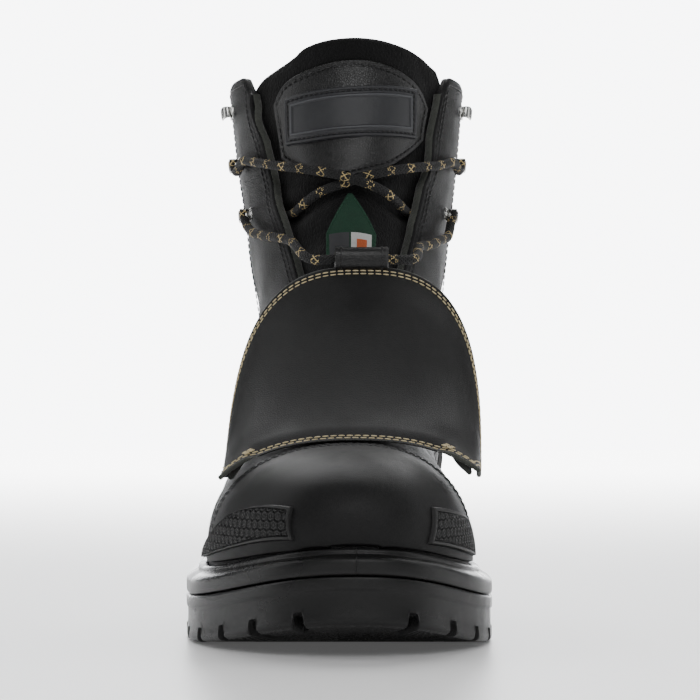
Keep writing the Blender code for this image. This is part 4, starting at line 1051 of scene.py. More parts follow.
def crease_relief(row, angle):
    """Sum of the creases: each is a bell across its line and fades out at the line's two ends.

    Distances are taken on the skin laid flat, a row and a degree each having a set run in millimetres.
    """
    spot = np.stack(np.broadcast_arrays(row * ROW_RUN, np.abs(angle) * DEGREE_RUN), axis=-1)
    relief = np.zeros(spot.shape[:-1])
    for number, (start, end, half_width, depth) in enumerate(CREASES):
        shift = 2.5 * np.sin(2.3 * number + np.sign(angle))
        first = np.array([start[0] * ROW_RUN, start[1] * DEGREE_RUN])
        run = np.array([end[0] * ROW_RUN, end[1] * DEGREE_RUN]) - first
        along = np.clip(((spot - first) @ run) / (run @ run), 0.0, 1.0)
        nearest = first + along[..., None] * run
        droop = 4.0 * np.sin(np.pi * along) + shift
        off = np.hypot(spot[..., 0] - nearest[..., 0] + droop, spot[..., 1] - nearest[..., 1])
        fade = np.sin(np.pi * np.clip(0.06 + 0.88 * along, 0.0, 1.0))
        relief -= depth / 1000.0 * np.exp(-(off / half_width) ** 2) * fade
    return relief


def slack(place):
    """Slow unevenness of a leather wall that nothing holds: three crossed waves of low height."""
    x, y, z = place[..., 0], place[..., 1], place[..., 2]
    return 0.00035 * (np.sin(61.0 * z + 40.0 * y) + np.sin(83.0 * y - 57.0 * x + 1.0)
                      + np.sin(47.0 * z - 70.0 * x + 2.0)) * ramp(z, 0.05, 0.09)


# %% [markdown]
# ## The hide over the last
# With the creases known, the shell is two grids of one thickness, outside and inside, for each half. The
# halves are joined along the toe's ridge and the back seam, and a short skirt goes down into the sole.

# %% Upper
COLLAR_ROW = 21.0
THROAT_START = 8.0
CAP_ROW = 6.0
UPPER_LINES = np.unique(np.concatenate([
    np.linspace(0.0, 1.6, 16), np.linspace(1.6, 11.6, 96), np.linspace(11.6, 13.0, 40),
    np.linspace(13.0, COLLAR_ROW, 92)]))
UPPER_ACROSS = 62
SKIRT_STEPS = 3


def corner(row, beyond):
    """Row lowered beside the throat edge under the collar, which rounds off the flap's top corner."""
    return row - 0.55 * ramp(row, 19.2, COLLAR_ROW) * (1.0 - ramp(beyond, 0.0, 9.0)) ** 2


def upper_half(side, lift):
    """Grid of one half of the upper: rows up the last, columns from the throat edge to the foot line,
    then a short skirt that goes straight down inside the sole's rim."""
    throat = throat_angle(UPPER_LINES) * ramp(UPPER_LINES, THROAT_START - 0.02, THROAT_START)
    foot = foot_angle(UPPER_LINES, side)
    share = np.linspace(0.0, 1.0, UPPER_ACROSS)[None, :] ** 0.92
    angle = throat[:, None] + (foot - throat)[:, None] * share
    row = corner(np.broadcast_to(UPPER_LINES[:, None], angle.shape), angle - throat[:, None])
    base = last_point(row, side * angle)
    beyond = angle - throat[:, None]
    held = ramp(foot[:, None] - angle, 3.0, 16.0) + ramp(row, HEEL_ROW, HEEL_ROW + 1.5)
    rise = (crease_relief(row, side * angle) + slack(base)) * np.clip(held, 0.0, 1.0)
    rise = rise * ramp(beyond, 0.0, 14.0) * (1.0 - 0.6 * ramp(row, 20.0, COLLAR_ROW))
    rise = rise * ramp(row, CAP_ROW, CAP_ROW + 1.5)
    grid = base + last_normal(row, side * angle) * (lift + rise)[..., None]
    if lift == 0.0:
        top = rolled((corner(COLLAR_ROW, beyond) - row) * ROW_RUN / 1000.0, 0.0011)
        grid = grid - last_normal(row, side * angle) * top[..., None]
    skirt = []
    rim = grid[:, -1]
    for step in range(1, SKIRT_STEPS + 1):
        low = rim.copy()
        floor_z = lip_line(station_of(rim[:, 1])) - RIM_DEPTH + 2.0 * FIT_GAP
        low[:, 2] = rim[:, 2] + (floor_z - rim[:, 2]) * step / SKIRT_STEPS
        low = np.where((UPPER_LINES <= HEEL_ROW)[:, None], low, rim)
        skirt.append(low)
    return np.concatenate([grid, np.stack(skirt, axis=1)], axis=1)


def make_upper():
    """Both halves, outside and inside, joined along the closed part of the ridge and the back seam."""
    closed = UPPER_LINES >= HEEL_ROW
    ridge = UPPER_LINES < THROAT_START - 0.01
    grids = []
    for lift in (0.0, -WALL):
        halves = [upper_half(side, lift) for side in (-1, 1)]
        seam = 0.5 * (halves[0][:, UPPER_ACROSS - 1:] + halves[1][:, UPPER_ACROSS - 1:])
        middle = 0.5 * (halves[0][:, 0] + halves[1][:, 0])
        for half in halves:
            half[closed, UPPER_ACROSS - 1:] = seam[closed]
            half[ridge, 0] = middle[ridge]
        grids.append(halves)
    rows, across = grids[0][0].shape[:2]
    cells = shell_faces(rows, across)
    sheet_cells = 2 * (rows - 1) * (across - 1)
    rim = cells[sheet_cells:]
    low = np.minimum(rim[:, 0], rim[:, 3])
    row, column = low // across, low % across
    upright = np.abs(rim[:, 0] - rim[:, 3]) == across
    joined = (column == 0) & ridge[np.minimum(row + 1, rows - 1)] | (column == across - 1) & closed[row]
    cells = np.concatenate([cells[:sheet_cells], rim[~(upright & joined)]])
    points = [grids[layer][half].reshape(-1, 3) for half in (0, 1) for layer in (0, 1)]
    faces = np.concatenate([cells, cells + 2 * rows * across])
    return build("upper_hide_shell", np.concatenate(points), faces, UPPER_HIDE, "black_leather", ("upper",))


make_upper()

# %% [markdown]
# ## Collar lining and side seams
# A boot's shaft is lined, and its quarters are joined by seams down the sides. The lining could be a
# second shell; a thin band just inside the wall is all that the collar lets one see. The seams are two
# rows of stitches that fall from the collar and bend forward under the ankle.

# %% Collar lining and side seams
LINING_LIFTS = (0.0002, 0.0006)
SEAM_TURN = 12.6
SKIN_LIFT = 0.0001

inside_rows = np.flatnonzero((UPPER_LINES > 9.4) & (UPPER_LINES < 20.75))[::2]
for side, word in ((-1, "lateral"), (1, "medial")):
    faces_of = [upper_half(side, -WALL - depth)[inside_rows, 1:UPPER_ACROSS:2] for depth in LINING_LIFTS]
    shell("collar_lining_" + word, faces_of[0], faces_of[1], LINING_LOOK, "footbed_fabric")
    for lean in (0.0, 3.2):
        line = np.linspace(SEAM_TURN, 20.7, 160)
        sew_skin(line, side * (112.0 - 1.2 * (line - SEAM_TURN) + lean), SKIN_LIFT)
    line = np.linspace(8.6, SEAM_TURN, 90)
    sew_skin(line, side * (70.0 + 10.5 * (line - 8.6)), SKIN_LIFT)

# %% [markdown]
# ## Toe cap
# A separate piece of smooth leather is drawn tight over the steel toe, so it has no creases, only a
# rolled edge where it stops under the guard. It is the last's own skin again, a cap's thickness above it.

# %% Toe cap
CAP_LEATHER = 0.0012
STAY_LEATHER = 0.0014
CAP_LINES = np.concatenate([np.linspace(0.06, 1.2, 20)[:-1], np.linspace(1.2, 5.8, 60)[:-1],
                            np.linspace(5.8, CAP_ROW, 10)])
CAP_ACROSS = 160
CAP_HEM = 2.0


def make_cap():
    """Toe cap from foot line to foot line, less a hem, with slight flats where it was drawn down."""
    share = np.linspace(0.0, 1.0, CAP_ACROSS)[None]
    lateral = -(foot_angle(CAP_LINES, -1) - CAP_HEM)[:, None]
    medial = (foot_angle(CAP_LINES, 1) - CAP_HEM)[:, None]
    angles = lateral + (medial - lateral) * share
    rows = np.broadcast_to(CAP_LINES[:, None], angles.shape)
    place = skin(rows, angles, FIT_GAP)
    flats = np.sin(52.0 * place[..., 0] + 31.0 * place[..., 1]) * np.sin(44.0 * place[..., 2])
    rise = CAP_LEATHER - np.minimum(rolled(edge_distance(place), 0.0008), 0.75 * CAP_LEATHER)
    lifted("toe_cap_leather", place, last_normal(rows, angles), rise + 0.00022 * flats, 0.0, CAP_HIDE,
           "smooth_leather", ("toe_cap",))


make_cap()
for seam_row in (5.72, 5.86):
    bend = np.linspace(-84.0, 84.0, 160)
    sew_skin(np.full(bend.shape, seam_row), bend, FIT_GAP + CAP_LEATHER)

# %% [markdown]
# ## Toe bumpers
# Each bumper is a pad of moulded rubber with a raised rim round a field of six-sided cells. Hexagons could
# be placed one by one; as relief they come from one distance function, the distance from the nearest
# cell centre measured in three directions, cut off where the groove between cells begins.

# %% Hexagon field
HEX_PITCH = 0.0041
HEX_GROOVE = 0.00055
HEX_HEIGHT = 0.00075
TOE_RADIUS = 0.062
TOE_SLOPE = 1.12
RIM_INSET, RIM_HEIGHT = 0.0011, 0.0007
PAD_HEIGHT = 0.001


def hexagons(u, v):
    """One on a cell and zero in the grooves: two interleaved grids of centres, nearest one wins."""
    step_v = HEX_PITCH * math.sqrt(3.0)
    best = np.full(np.shape(u), 1.0)
    for shift_u, shift_v in ((0.0, 0.0), (0.5 * HEX_PITCH, 0.5 * step_v)):
        du = np.mod(u - shift_u + 0.5 * HEX_PITCH, HEX_PITCH) - 0.5 * HEX_PITCH
        dv = np.mod(v - shift_v + 0.5 * step_v, step_v) - 0.5 * step_v
        reach = np.maximum(np.abs(du), 0.5 * np.abs(du) + 0.5 * math.sqrt(3.0) * np.abs(dv))
        best = np.minimum(best, reach)
    wall = 0.5 * HEX_PITCH - 0.5 * HEX_GROOVE
    ring_cut = 1.0 - ramp(np.abs(best - 0.45 * wall), 0.0001, 0.00035)
    return (1.0 - ramp(best, wall - 0.00022, wall + 0.00012)) * (1.0 - 0.45 * ring_cut)


BUMPERS = (
    # name, then row and degrees of its corners: front low, rear low, rear high, front high
    ("bumper_lateral", ((1.95, -82.0), (6.4, -90.0), (4.8, -69.0), (2.65, -49.0))),
    ("bumper_medial", ((2.85, 86.0), (5.8, 89.0), (5.4, 72.0), (3.55, 59.0))),
)
BUMPER_ALONG = 176
BUMPER_UP = 76


def make_bumper(name, corners):
    """Bumper: a grid between its four corners on the last, raised by its rim and its cells."""
    front_low, rear_low, rear_high, front_high = np.array(corners)
    p = edge_dense(BUMPER_ALONG, 0.25)[None, :, None]
    q = edge_dense(BUMPER_UP, 0.3)[:, None, None]
    low = front_low * (1.0 - p) + rear_low * p
    high = front_high * (1.0 - p) + rear_high * p
    spot = low * (1.0 - q) + high * q
    rows, angles = spot[..., 0], spot[..., 1]
    seat = skin(rows, angles, FIT_GAP + CAP_LEATHER - 0.0002)
    out = last_normal(rows, angles)
    ahead = TOE_RADIUS - 0.5 * SOLE_LENGTH - seat[..., 1]
    u = TOE_RADIUS * np.arctan2(seat[..., 0] - 0.05 * BALL_WIDTH, ahead)
    v = seat[..., 2] * TOE_SLOPE
    edge = edge_distance(seat)
    rim = 1.0 - ramp(np.abs(edge - RIM_INSET), 0.0004, 0.0009)
    field = ramp(edge, 0.0019, 0.0024) * hexagons(u, v)
    height = PAD_HEIGHT + RIM_HEIGHT * rim + HEX_HEIGHT * field - rolled(edge, 0.0009)
    return lifted(name + "_moulded", seat, out, np.maximum(height, 0.00005), -0.0002, BUMPER_RUBBER,
                  "outsole_rubber", (name,))


for bumper in BUMPERS:
    make_bumper(*bumper)

# %% [markdown]
# ## Facings
# The facings carry the hooks: a second layer of leather whose cut edge shows grey and fuzzy along the
# throat, with two lines of black stitching beside it. They could be cut from the upper's own mesh; as
# sheets of their own they can stand off it in a slow wave, as flaps do where the lace doesn't hold them.

# %% Facings
FACING_LINES = np.concatenate([[12.0], np.linspace(12.05, 20.9, 116), [21.0]])
FACING_REACH = (
    # row, degrees beyond the throat edge where the facing ends
    (12.0, 35.0), (13.0, 44.0), (14.5, 46.0), (16.5, 44.0), (18.5, 42.0), (21.0, 42.0),
)
FACING_ACROSS = 48
FACING_LIFT = FIT_GAP
FACING_LAP = 1.2
FLAP_FREE = (15.0, 17.0)
EDGE_HALF = 0.0006
facing_rows, facing_reach = np.array(FACING_REACH).T


def facing_wave(row, side):
    """Slow wave of the flap's free edge, in metres of lift, from the row where the flap comes free."""
    wave = 0.001 * np.sin(1.7 * row + 1.1 * side) + 0.0008 * np.sin(2.9 * row - side)
    return wave * ramp(row, *FLAP_FREE)


def make_facing(name, side):
    """One facing with its waved free edge, its cut edge strip and its stitching."""
    throat = throat_angle(FACING_LINES)
    reach = flowing(facing_rows, facing_reach, FACING_LINES)
    share = edge_dense(FACING_ACROSS, 0.35)[None]
    angles = side * (throat[:, None] - FACING_LAP + reach[:, None] * share)
    rows = corner(np.broadcast_to(FACING_LINES[:, None], angles.shape), reach[:, None] * share)
    free = (1.0 - share) ** 3 * facing_wave(rows, side)
    seat = skin(rows, angles, FACING_LIFT + np.maximum(free, -0.0001))
    out = last_normal(rows, angles)
    creased = crease_relief(rows, angles) * ramp(share, 0.45, 1.0)
    roll = rolled(edge_distance(seat), 0.0007)
    rise = STAY_LEATHER - np.minimum(roll, 0.8 * STAY_LEATHER) + creased
    lifted(name + "_leather", seat, out, rise, creased - 0.0001, UPPER_HIDE, "black_leather", (name,))
    edge_angle = side * (throat - 1.7)
    edge_lines = corner(FACING_LINES, 0.0)
    edge_free = np.maximum(facing_wave(FACING_LINES, side), -0.0001)
    around = circle(10)
    middle = skin(edge_lines, edge_angle, edge_free - 0.5 * WALL + 0.5 * STAY_LEATHER)
    out_line = last_normal(edge_lines, edge_angle)
    side_way = unit(np.cross(out_line, np.gradient(middle, axis=0)))
    fuzz = 1.0 + 0.1 * np.sin(np.arange(len(FACING_LINES)) * 1.9)[:, None] * np.sin(3.0 * around)[None]
    tall = 0.5 * (WALL + STAY_LEATHER) - 0.0002
    strip = (middle[:, None] + out_line[:, None] * (np.cos(around)[None, :, None] * tall * fuzz[..., None])
             + side_way[:, None] * (np.sin(around)[None, :, None] * EDGE_HALF * fuzz[..., None]))
    build(name + "_cut_edge", strip, tube_faces(len(FACING_LINES), len(around)), CUT_EDGE, "guard_felt")
    top = FACING_LIFT + STAY_LEATHER
    for inset in (3.2, 5.6):
        line = np.linspace(12.4, 20.85, 160)
        wave = np.maximum(facing_wave(line, side), 0.0) * 0.7
        bend = side * (throat_angle(line) - FACING_LAP + inset)
        line = corner(line, inset)
        sew(skin(line, bend, top + wave), last_normal(line, bend))
    line = np.linspace(12.2, 20.9, 160)
    ends = throat_angle(line) - FACING_LAP + flowing(facing_rows, facing_reach, line)
    sew_skin(line, side * (ends - 2.4), top)
    beyond = np.linspace(2.0, 40.0, 60)
    sew_skin(corner(np.full(60, 20.78), beyond), side * (throat_angle(20.8) - FACING_LAP + beyond), top)


make_facing("eyestay_lateral", -1.0)
make_facing("eyestay_medial", 1.0)

# %% [markdown]
# ## Heel counter
# The photo hides the back, so the counter is a plain piece of the same hide, as such a boot has it: low
# at the sides and rising in one straight cut to the back seam. A Boolean could cut it; here the cut's
# height is searched for on each row, so the edge stays a column of the grid and can be rolled over.

# %% Heel counter
COUNTER_CUT = ((0.575, 0.285), (0.965, 0.515))
COUNTER_LIFT = 0.0006


def above_cut(place):
    """More than zero where a place lies above the counter's cut, a plane given by two points of it."""
    front, back = [np.array([(share - 0.5) * SOLE_LENGTH, height * UPPER_HEIGHT])
                   for share, height in COUNTER_CUT]
    run = back - front
    return (place[..., 2] - front[1]) * run[0] - (place[..., 1] - front[0]) * run[1]


def counter_top(row, side):
    """Degrees where the counter's upper edge crosses a row, found by search."""
    trial = np.linspace(60.0, 179.0, 240)
    rows = np.broadcast_to(np.asarray(row)[:, None], (len(row), len(trial)))
    below = above_cut(last_point(rows, side * trial[None])) < 0.0
    return trial[np.where(below.any(axis=1), np.argmax(below, axis=1), len(trial) - 1)]


def counter_end():
    """The row where the back seam crosses the counter's cut."""
    rows = np.linspace(13.0, 18.0, 201)
    place = last_point(rows, np.full(rows.shape, 179.5))
    return rows[np.argmax(above_cut(place) >= 0.0)]


COUNTER_END = counter_end()
print("counter ends on row", round(float(COUNTER_END), 2))


COUNTER_LINES = np.concatenate([np.linspace(10.0, HEEL_ROW, 46)[:-1],
                                np.linspace(HEEL_ROW, COUNTER_END, 34)])
COUNTER_ACROSS = 44


def make_counter(word, side):
    """One side of the counter, from its cut edge to the foot line or the back seam, and its stitching."""
    foot = foot_angle(COUNTER_LINES, side)
    start = np.minimum(counter_top(COUNTER_LINES, side), foot - 2.5)
    end = foot - np.where(COUNTER_LINES < HEEL_ROW, 1.0, 0.0)
    angles = side * (start[:, None] + (end - start)[:, None] * edge_dense(COUNTER_ACROSS, 0.3)[None])
    rows = np.broadcast_to(COUNTER_LINES[:, None], angles.shape)
    seat = skin(rows, angles, COUNTER_LIFT)
    out = last_normal(rows, angles)
    waved = crease_relief(rows, angles) + slack(last_point(rows, angles))
    depth = np.minimum(rolled(edge_distance(seat), 0.0008), 0.0011)
    closed = (rows >= HEEL_ROW) & (np.abs(angles) > 176.0)
    rise = STAY_LEATHER - np.where(closed, 0.0, depth) + np.maximum(waved, -0.0003)
    lifted("counter_" + word, seat, out, rise, -0.0002, UPPER_HIDE, "black_leather",
           ("heel_counter",) if word == "lateral" else ())
    line = np.linspace(10.4, COUNTER_END - 0.25, 130)
    for inset in (2.6, 5.0):
        top = side * np.minimum(counter_top(line, side) + inset, foot_angle(line, side) - 2.0)
        sew_skin(line, top, COUNTER_LIFT + STAY_LEATHER)


make_counter("lateral", -1)
make_counter("medial", 1)

# %% [markdown]
# ## Backstay
# A strip of hide covers the back seam from the counter to the collar, with a line of stitches along each
# edge. It bends round the seam, so its grid is counted in degrees to both sides of it.

# %% Backstay
STAY_LINES = np.concatenate([[16.5], np.linspace(16.55, 20.85, 80), [20.9]])
STAY_ACROSS = 30
STAY_HALF = 15.5
STAY_SEAM = 12.5


def around_back(rows, degrees, lift):
    """Point beside the back seam: degrees are counted from the seam, medial positive."""
    side = np.where(degrees >= 0.0, 1.0, -1.0)
    angle = side * (180.0 - np.abs(degrees))
    place = last_point(rows, angle)
    out = last_normal(rows, side * np.minimum(np.abs(angle), 176.0))
    out[..., 0] *= ramp(np.abs(degrees), 0.0, 5.0)
    return place + unit(out) * np.asarray(lift)[..., None]


stay_angle = np.linspace(-1.0, 1.0, STAY_ACROSS)[None] * STAY_HALF
stay_rows, stay_grid = np.broadcast_arrays(STAY_LINES[:, None], stay_angle)
stay_seat = around_back(stay_rows, stay_grid, FIT_GAP)
stay_rise = STAY_LEATHER - np.minimum(rolled(edge_distance(stay_seat), 0.0007), 0.0011)
shell("backstay_leather", around_back(stay_rows, stay_grid, FIT_GAP + stay_rise), stay_seat, UPPER_HIDE,
      "black_leather", ("backstay",))
for edge in (-STAY_SEAM, STAY_SEAM):
    line = np.linspace(16.7, 20.7, 90)
    at = np.full(line.shape, edge)
    path = around_back(line, at, FIT_GAP + STAY_LEATHER)
    sew(path, unit(path - around_back(line, at, -0.004)))


# %% [markdown]
# ## Tongue
# The tongue is padded cloth, thick in the middle and thin where it is sewn in. The padding could be
# inflated with a cloth simulation; here it is a lift that is highest along the middle and falls off like
# a circle to both sides, with small dents where the laces press on it.

# %% Where the lace crosses
LACE_DIAMETER = 0.004
LACE_DOWN = (
    # row, degrees, lift in diameters, from the lateral middle hook to the medial facing, and under it
    (18.85, -62.0, 1.25), (18.55, -50.0, 1.3), (18.1, -36.0, 1.4), (17.6, -19.0, 1.6), (17.1, 0.0, 1.75),
    (16.85, 16.0, 1.2), (16.78, 28.0, 0.2), (16.85, 37.0, -0.7), (16.95, 45.0, -1.2), (17.1, 52.0, -1.25),
)
LACE_UP = (
    # the same from the medial middle hook to the lateral facing
    (18.85, 64.0, 1.3), (18.45, 50.0, 1.25), (18.0, 34.0, 1.05), (17.55, 17.0, 0.85), (17.1, 0.0, 0.75),
    (16.85, -15.0, 0.55), (16.72, -26.0, 0.0), (16.75, -34.0, -0.75), (16.85, -43.0, -1.25),
    (17.0, -50.0, -1.25),
)


def lace_spots(spots):
    """Places on the last for rows, degrees and lifts given in lace diameters."""
    rows, angles, lifts = np.array(spots).T
    return skin(rows, angles, lifts * LACE_DIAMETER)


def smooth_path(knots, spacing, rounds):
    """Evenly spaced points on a curve through the knots, relaxed a few rounds so that bends are soft."""
    run = run_of(knots)
    at = np.linspace(0.0, run[-1], int(run[-1] / spacing))
    path = np.stack([flowing(run, knots[:, axis], at) for axis in range(3)], axis=1)
    for _ in range(rounds):
        path[1:-1] = 0.5 * path[1:-1] + 0.25 * (path[:-2] + path[2:])
    return path


crossing_paths = [smooth_path(lace_spots(spots), 0.0012, 8) for spots in (LACE_DOWN, LACE_UP)]


PRESS_DEPTH = 0.0042
PRESS_REACH = 0.0048


def lace_press(place):
    """Dent under the crossing lace: a bell of the distance from the nearest point of its path."""
    nearest = np.full(place.shape[:2], 1.0)
    for path in crossing_paths:
        for point in path:
            nearest = np.minimum(nearest, np.linalg.norm(place - point, axis=-1))
    return PRESS_DEPTH * np.exp(-(nearest / PRESS_REACH) ** 2)


# %% Tongue
TONGUE_THICK = 0.0045
TONGUE_PUFF = 0.003
TONGUE_START = 7.4
TONGUE_END = 22.1


def tongue_lift(row, share):
    """Lift of the tongue's face above the last: under the facings at its sides, padded in its middle."""
    puff = np.clip(1.0 - (np.asarray(share) / 0.72) ** 2, 0.0, 1.0)
    return -(WALL + 3.0 * FIT_GAP) + TONGUE_PUFF * puff * ramp(row, 9.5, 11.5)


def tongue_spread(row):
    """Half width of the tongue in degrees: it tucks under the facings up to their top."""
    return throat_angle(row) + 11.0 * (1.0 - ramp(row, 20.5, 21.4))


TONGUE_COUNT = 140
TONGUE_ACROSS = 90
share_grid = np.broadcast_to(edge_dense(TONGUE_ACROSS, 0.3) * 2.0 - 1.0, (TONGUE_COUNT, TONGUE_ACROSS))
arch = np.where(share_grid > 0.0, 0.95, 1.35) * np.abs(share_grid - 0.06) ** 1.9
step = 0.1 * ramp(share_grid, -0.52, -0.42)
tongue_end = TONGUE_END - 0.14 + step - arch
climb = edge_dense(TONGUE_COUNT, 0.25)[:, None]
tongue_rows = TONGUE_START + (tongue_end - TONGUE_START) * climb
tongue_angles = share_grid * tongue_spread(tongue_rows)
tongue_face = skin(tongue_rows, tongue_angles, tongue_lift(tongue_rows, share_grid))
tongue_out = last_normal(tongue_rows, tongue_angles)
wrinkle = (0.0007 * np.sin(2.2 * tongue_rows + 2.0 * share_grid) * np.sin(1.4 * np.pi * share_grid + 0.8)
           + 0.0004 * np.sin(5.1 * tongue_rows - 3.0 * share_grid))
wrinkle = wrinkle * ramp(tongue_rows, 12.0, 14.0) * (1.0 - ramp(np.abs(share_grid), 0.75, 0.95))
tongue_roll = np.minimum(rolled(edge_distance(tongue_face), 0.0021), 0.002)
press = lace_press(tongue_face)
lifted("tongue_padded", tongue_face, tongue_out, wrinkle - tongue_roll - press,
       tongue_roll - TONGUE_THICK - 0.9 * press, TONGUE_LOOK, "tongue_cloth", ("tongue",))
sheet_size("tongue", tongue_face)

# %% [markdown]
# ## Leather panel
# On the tongue sit a shiny leather panel, a rubber badge and a woven patch. Each could be a flat piece bent
# by a modifier, but a patch of the tongue's own surface between two edge curves lies on it exactly. The
# curves are given left to right in rows and degrees, and the panel is sewn down in a shallow channel.

# %% Panel

def patch_grid(corners, rows, across, push=0.3):
    """Rows and degrees of a four-sided piece between two edge curves given from left to right."""
    low, high = [np.array(part, dtype=float) for part in corners]
    share = edge_dense(across, push)
    curves = []
    for part in (low, high):
        knots = np.linspace(0.0, 1.0, len(part))
        curves.append(np.stack([flowing(knots, values, share) for values in part.T], axis=1))
    climb = edge_dense(rows, push)[:, None, None]
    spot = curves[0][None] * (1.0 - climb) + curves[1][None] * climb
    return spot[..., 0], spot[..., 1]


def on_tongue(rows, angles, lift):
    """Point that lies lift above the padded face of the tongue."""
    return skin(rows, angles, tongue_lift(rows, angles / tongue_spread(rows)) + lift)


def rounded_slab(name, rows, angles, lift, thick, roll, material, slot, replaces, relief=0.0):
    """Closed slab on the tongue with its edge rolled over and an optional relief on its face."""
    base = on_tongue(rows, angles, lift)
    out = last_normal(rows, angles)
    rise = thick - np.minimum(rolled(edge_distance(base), roll), 0.8 * thick)
    rise = rise + relief
    sheet_size(name, base)
    return lifted(name, base, out, rise, 0.0, material, slot, replaces)


def grid_loop(grid, normals, distance):
    """Closed path on a four-sided sheet that keeps a distance in metres from its edges."""
    rows, across = grid.shape[:2]
    down, over = run_of(grid, 0), run_of(grid, 1)
    low = [np.interp(distance, down[:, c], np.arange(rows)) for c in range(across)]
    high = [np.interp(down[-1, c] - distance, down[:, c], np.arange(rows)) for c in range(across)]
    left = [np.interp(distance, over[r], np.arange(across)) for r in range(rows)]
    right = [np.interp(over[r, -1] - distance, over[r], np.arange(across)) for r in range(rows)]
    first = int(np.ceil(left[int(low[0])]))
    last = int(np.floor(right[int(low[-1])]))
    bottom, top = int(np.ceil(low[last])), int(np.floor(high[last]))
    spots = [(low[c], c) for c in range(first, last + 1)]
    spots += [(r, right[r]) for r in range(bottom, top + 1)]
    last = int(np.floor(right[min(int(high[-1]), rows - 1)]))
    first = int(np.ceil(left[min(int(high[0]), rows - 1)]))
    spots += [(high[c], c) for c in range(last, first - 1, -1)]
    spots += [(r, left[r]) for r in range(top, bottom - 1, -1)]
    at = np.array(spots + spots[:1], dtype=float)
    r = np.clip(at[:, 0].astype(int), 0, rows - 2)
    c = np.clip(at[:, 1].astype(int), 0, across - 2)
    up, along = (at[:, 0] - r)[:, None], (at[:, 1] - c)[:, None]
    return [(field[r, c] * (1 - up) + field[r + 1, c] * up) * (1 - along)
            + (field[r, c + 1] * (1 - up) + field[r + 1, c + 1] * up) * along
            for field in (grid, normals)]


PANEL_SEAM = 0.0024
PANEL_LOW = ((18.45, -41.0), (17.95, -30.0), (17.45, -14.0), (17.35, -2.0), (17.6, 12.0), (17.95, 24.0),
             (18.75, 40.0), (19.1, 46.0))
PANEL_HIGH = ((20.0, -41.0), (20.62, -31.0), (21.0, -16.0), (21.2, -3.0), (21.2, 10.0), (20.95, 24.0),
              (20.5, 38.0), (20.0, 48.0))
panel_rows, panel_angles = patch_grid((PANEL_LOW, PANEL_HIGH), 70, 96)
panel_base = on_tongue(panel_rows, panel_angles, 0.0005)
panel_out = last_normal(panel_rows, panel_angles)
panel_dent = (0.00025 * np.sin(2.7 * panel_rows + 0.05 * panel_angles)
              + 0.0002 * np.sin(0.16 * panel_angles + panel_rows)
              - 0.00035 * np.exp(-((edge_distance(panel_base) - PANEL_SEAM) / 0.0009) ** 2))
rounded_slab("tongue_panel_leather", panel_rows, panel_angles, 0.0005, 0.0012, 0.0007, PANEL_HIDE,
             "smooth_leather", ("tongue_panel",), relief=panel_dent)
seam, seam_out = grid_loop(panel_base + panel_out * 0.00105, panel_out, PANEL_SEAM)
sew(seam, seam_out, pitch=0.0029, length=0.0021, width=0.00075)

# %% [markdown]
# ## Badge
# The badge is soft rubber with a border, a sewing channel and a frame line inside it, all raised from one
# face. Strips could be laid on it; here each is a bell of the distance from the badge's own edge, so
# they keep their spacing round the corners. Its middle is left bare.

# %% Badge
BORDER_INSET = 0.0008
BADGE_SEAM = 0.0019
FRAME_INSET = 0.0042
BADGE_LOW = ((18.72, -34.0), (18.62, -18.0), (18.66, 0.0), (18.82, 20.0), (19.0, 38.0))
BADGE_HIGH = ((20.08, -32.0), (20.2, -16.0), (20.3, 2.0), (20.4, 20.0), (20.42, 35.5))
badge_rows, badge_angles = patch_grid((BADGE_LOW, BADGE_HIGH), 74, 150, 0.15)
badge_base = on_tongue(badge_rows, badge_angles, 0.0016)
badge_edge = edge_distance(badge_base)
frame_rise = 1.0 - ramp(np.abs(badge_edge - FRAME_INSET), 0.00035, 0.00075)
border_rise = 1.0 - ramp(np.abs(badge_edge - BORDER_INSET), 0.0004, 0.0009)
channel = 1.0 - ramp(np.abs(badge_edge - BADGE_SEAM), 0.0003, 0.0008)
badge_relief = 0.00045 * frame_rise + 0.0003 * border_rise - 0.0003 * channel
rounded_slab("badge_moulded", badge_rows, badge_angles, 0.0016, 0.0013, 0.0007, BADGE_LOOK, "badge_rubber",
             ("tongue_badge",), relief=badge_relief)


badge_out = last_normal(badge_rows, badge_angles)
seam, seam_out = grid_loop(badge_base + badge_out * 0.0012, badge_out, BADGE_SEAM)
sew(seam, seam_out, pitch=0.0024, length=0.0018, width=0.0007)
frame_middle, frame_out = grid_loop(badge_base + badge_out * 0.00178, badge_out, FRAME_INSET)


def frame_ribbon(path, out, width, thick):
    """Flat closed band along the frame line: four corners at every point, joined into a ring."""
    forward = unit(np.roll(path, -1, axis=0) - np.roll(path, 1, axis=0))
    across = unit(np.cross(out, forward))
    corners = [path + across * width * reach * 0.5 + out * thick * lift
               for reach, lift in ((-1, 0), (-0.55, 1), (0.55, 1), (1, 0))]
    points = np.stack(corners, axis=1)
    points = np.concatenate([points, points[:1]])
    faces = grid_quads(len(points), 4, wrap=True)
    return build("badge_frame_line", points, faces, FRAME_LINE, "badge_rubber")


frame_ribbon(frame_middle[:-1], frame_out[:-1], 0.0008, 0.00022)

# %% [markdown]
# ## Patch
# The woven patch is a small house with a steep roof, green with a stitched edge. Its edges are straight
# between corners given by row and degrees, so a plain interpolation shapes it; three plain squares of
# cloth stand for its fields.

# %% Patch
PATCH_SHAPE = (
    # row, degrees to the lateral side, degrees to the medial side
    (14.35, -14.0, 15.0), (15.42, -13.3, 16.0), (15.9, -8.5, 11.0), (16.35, -4.3, 6.2), (16.78, -0.4, 1.4),
)


def patch_lines(lines):
    """Lateral and medial edges of the house-shaped patch at given rows: straight between its corners."""
    knots, low, high = np.array(PATCH_SHAPE).T
    return np.interp(lines, knots, low), np.interp(lines, knots, high)


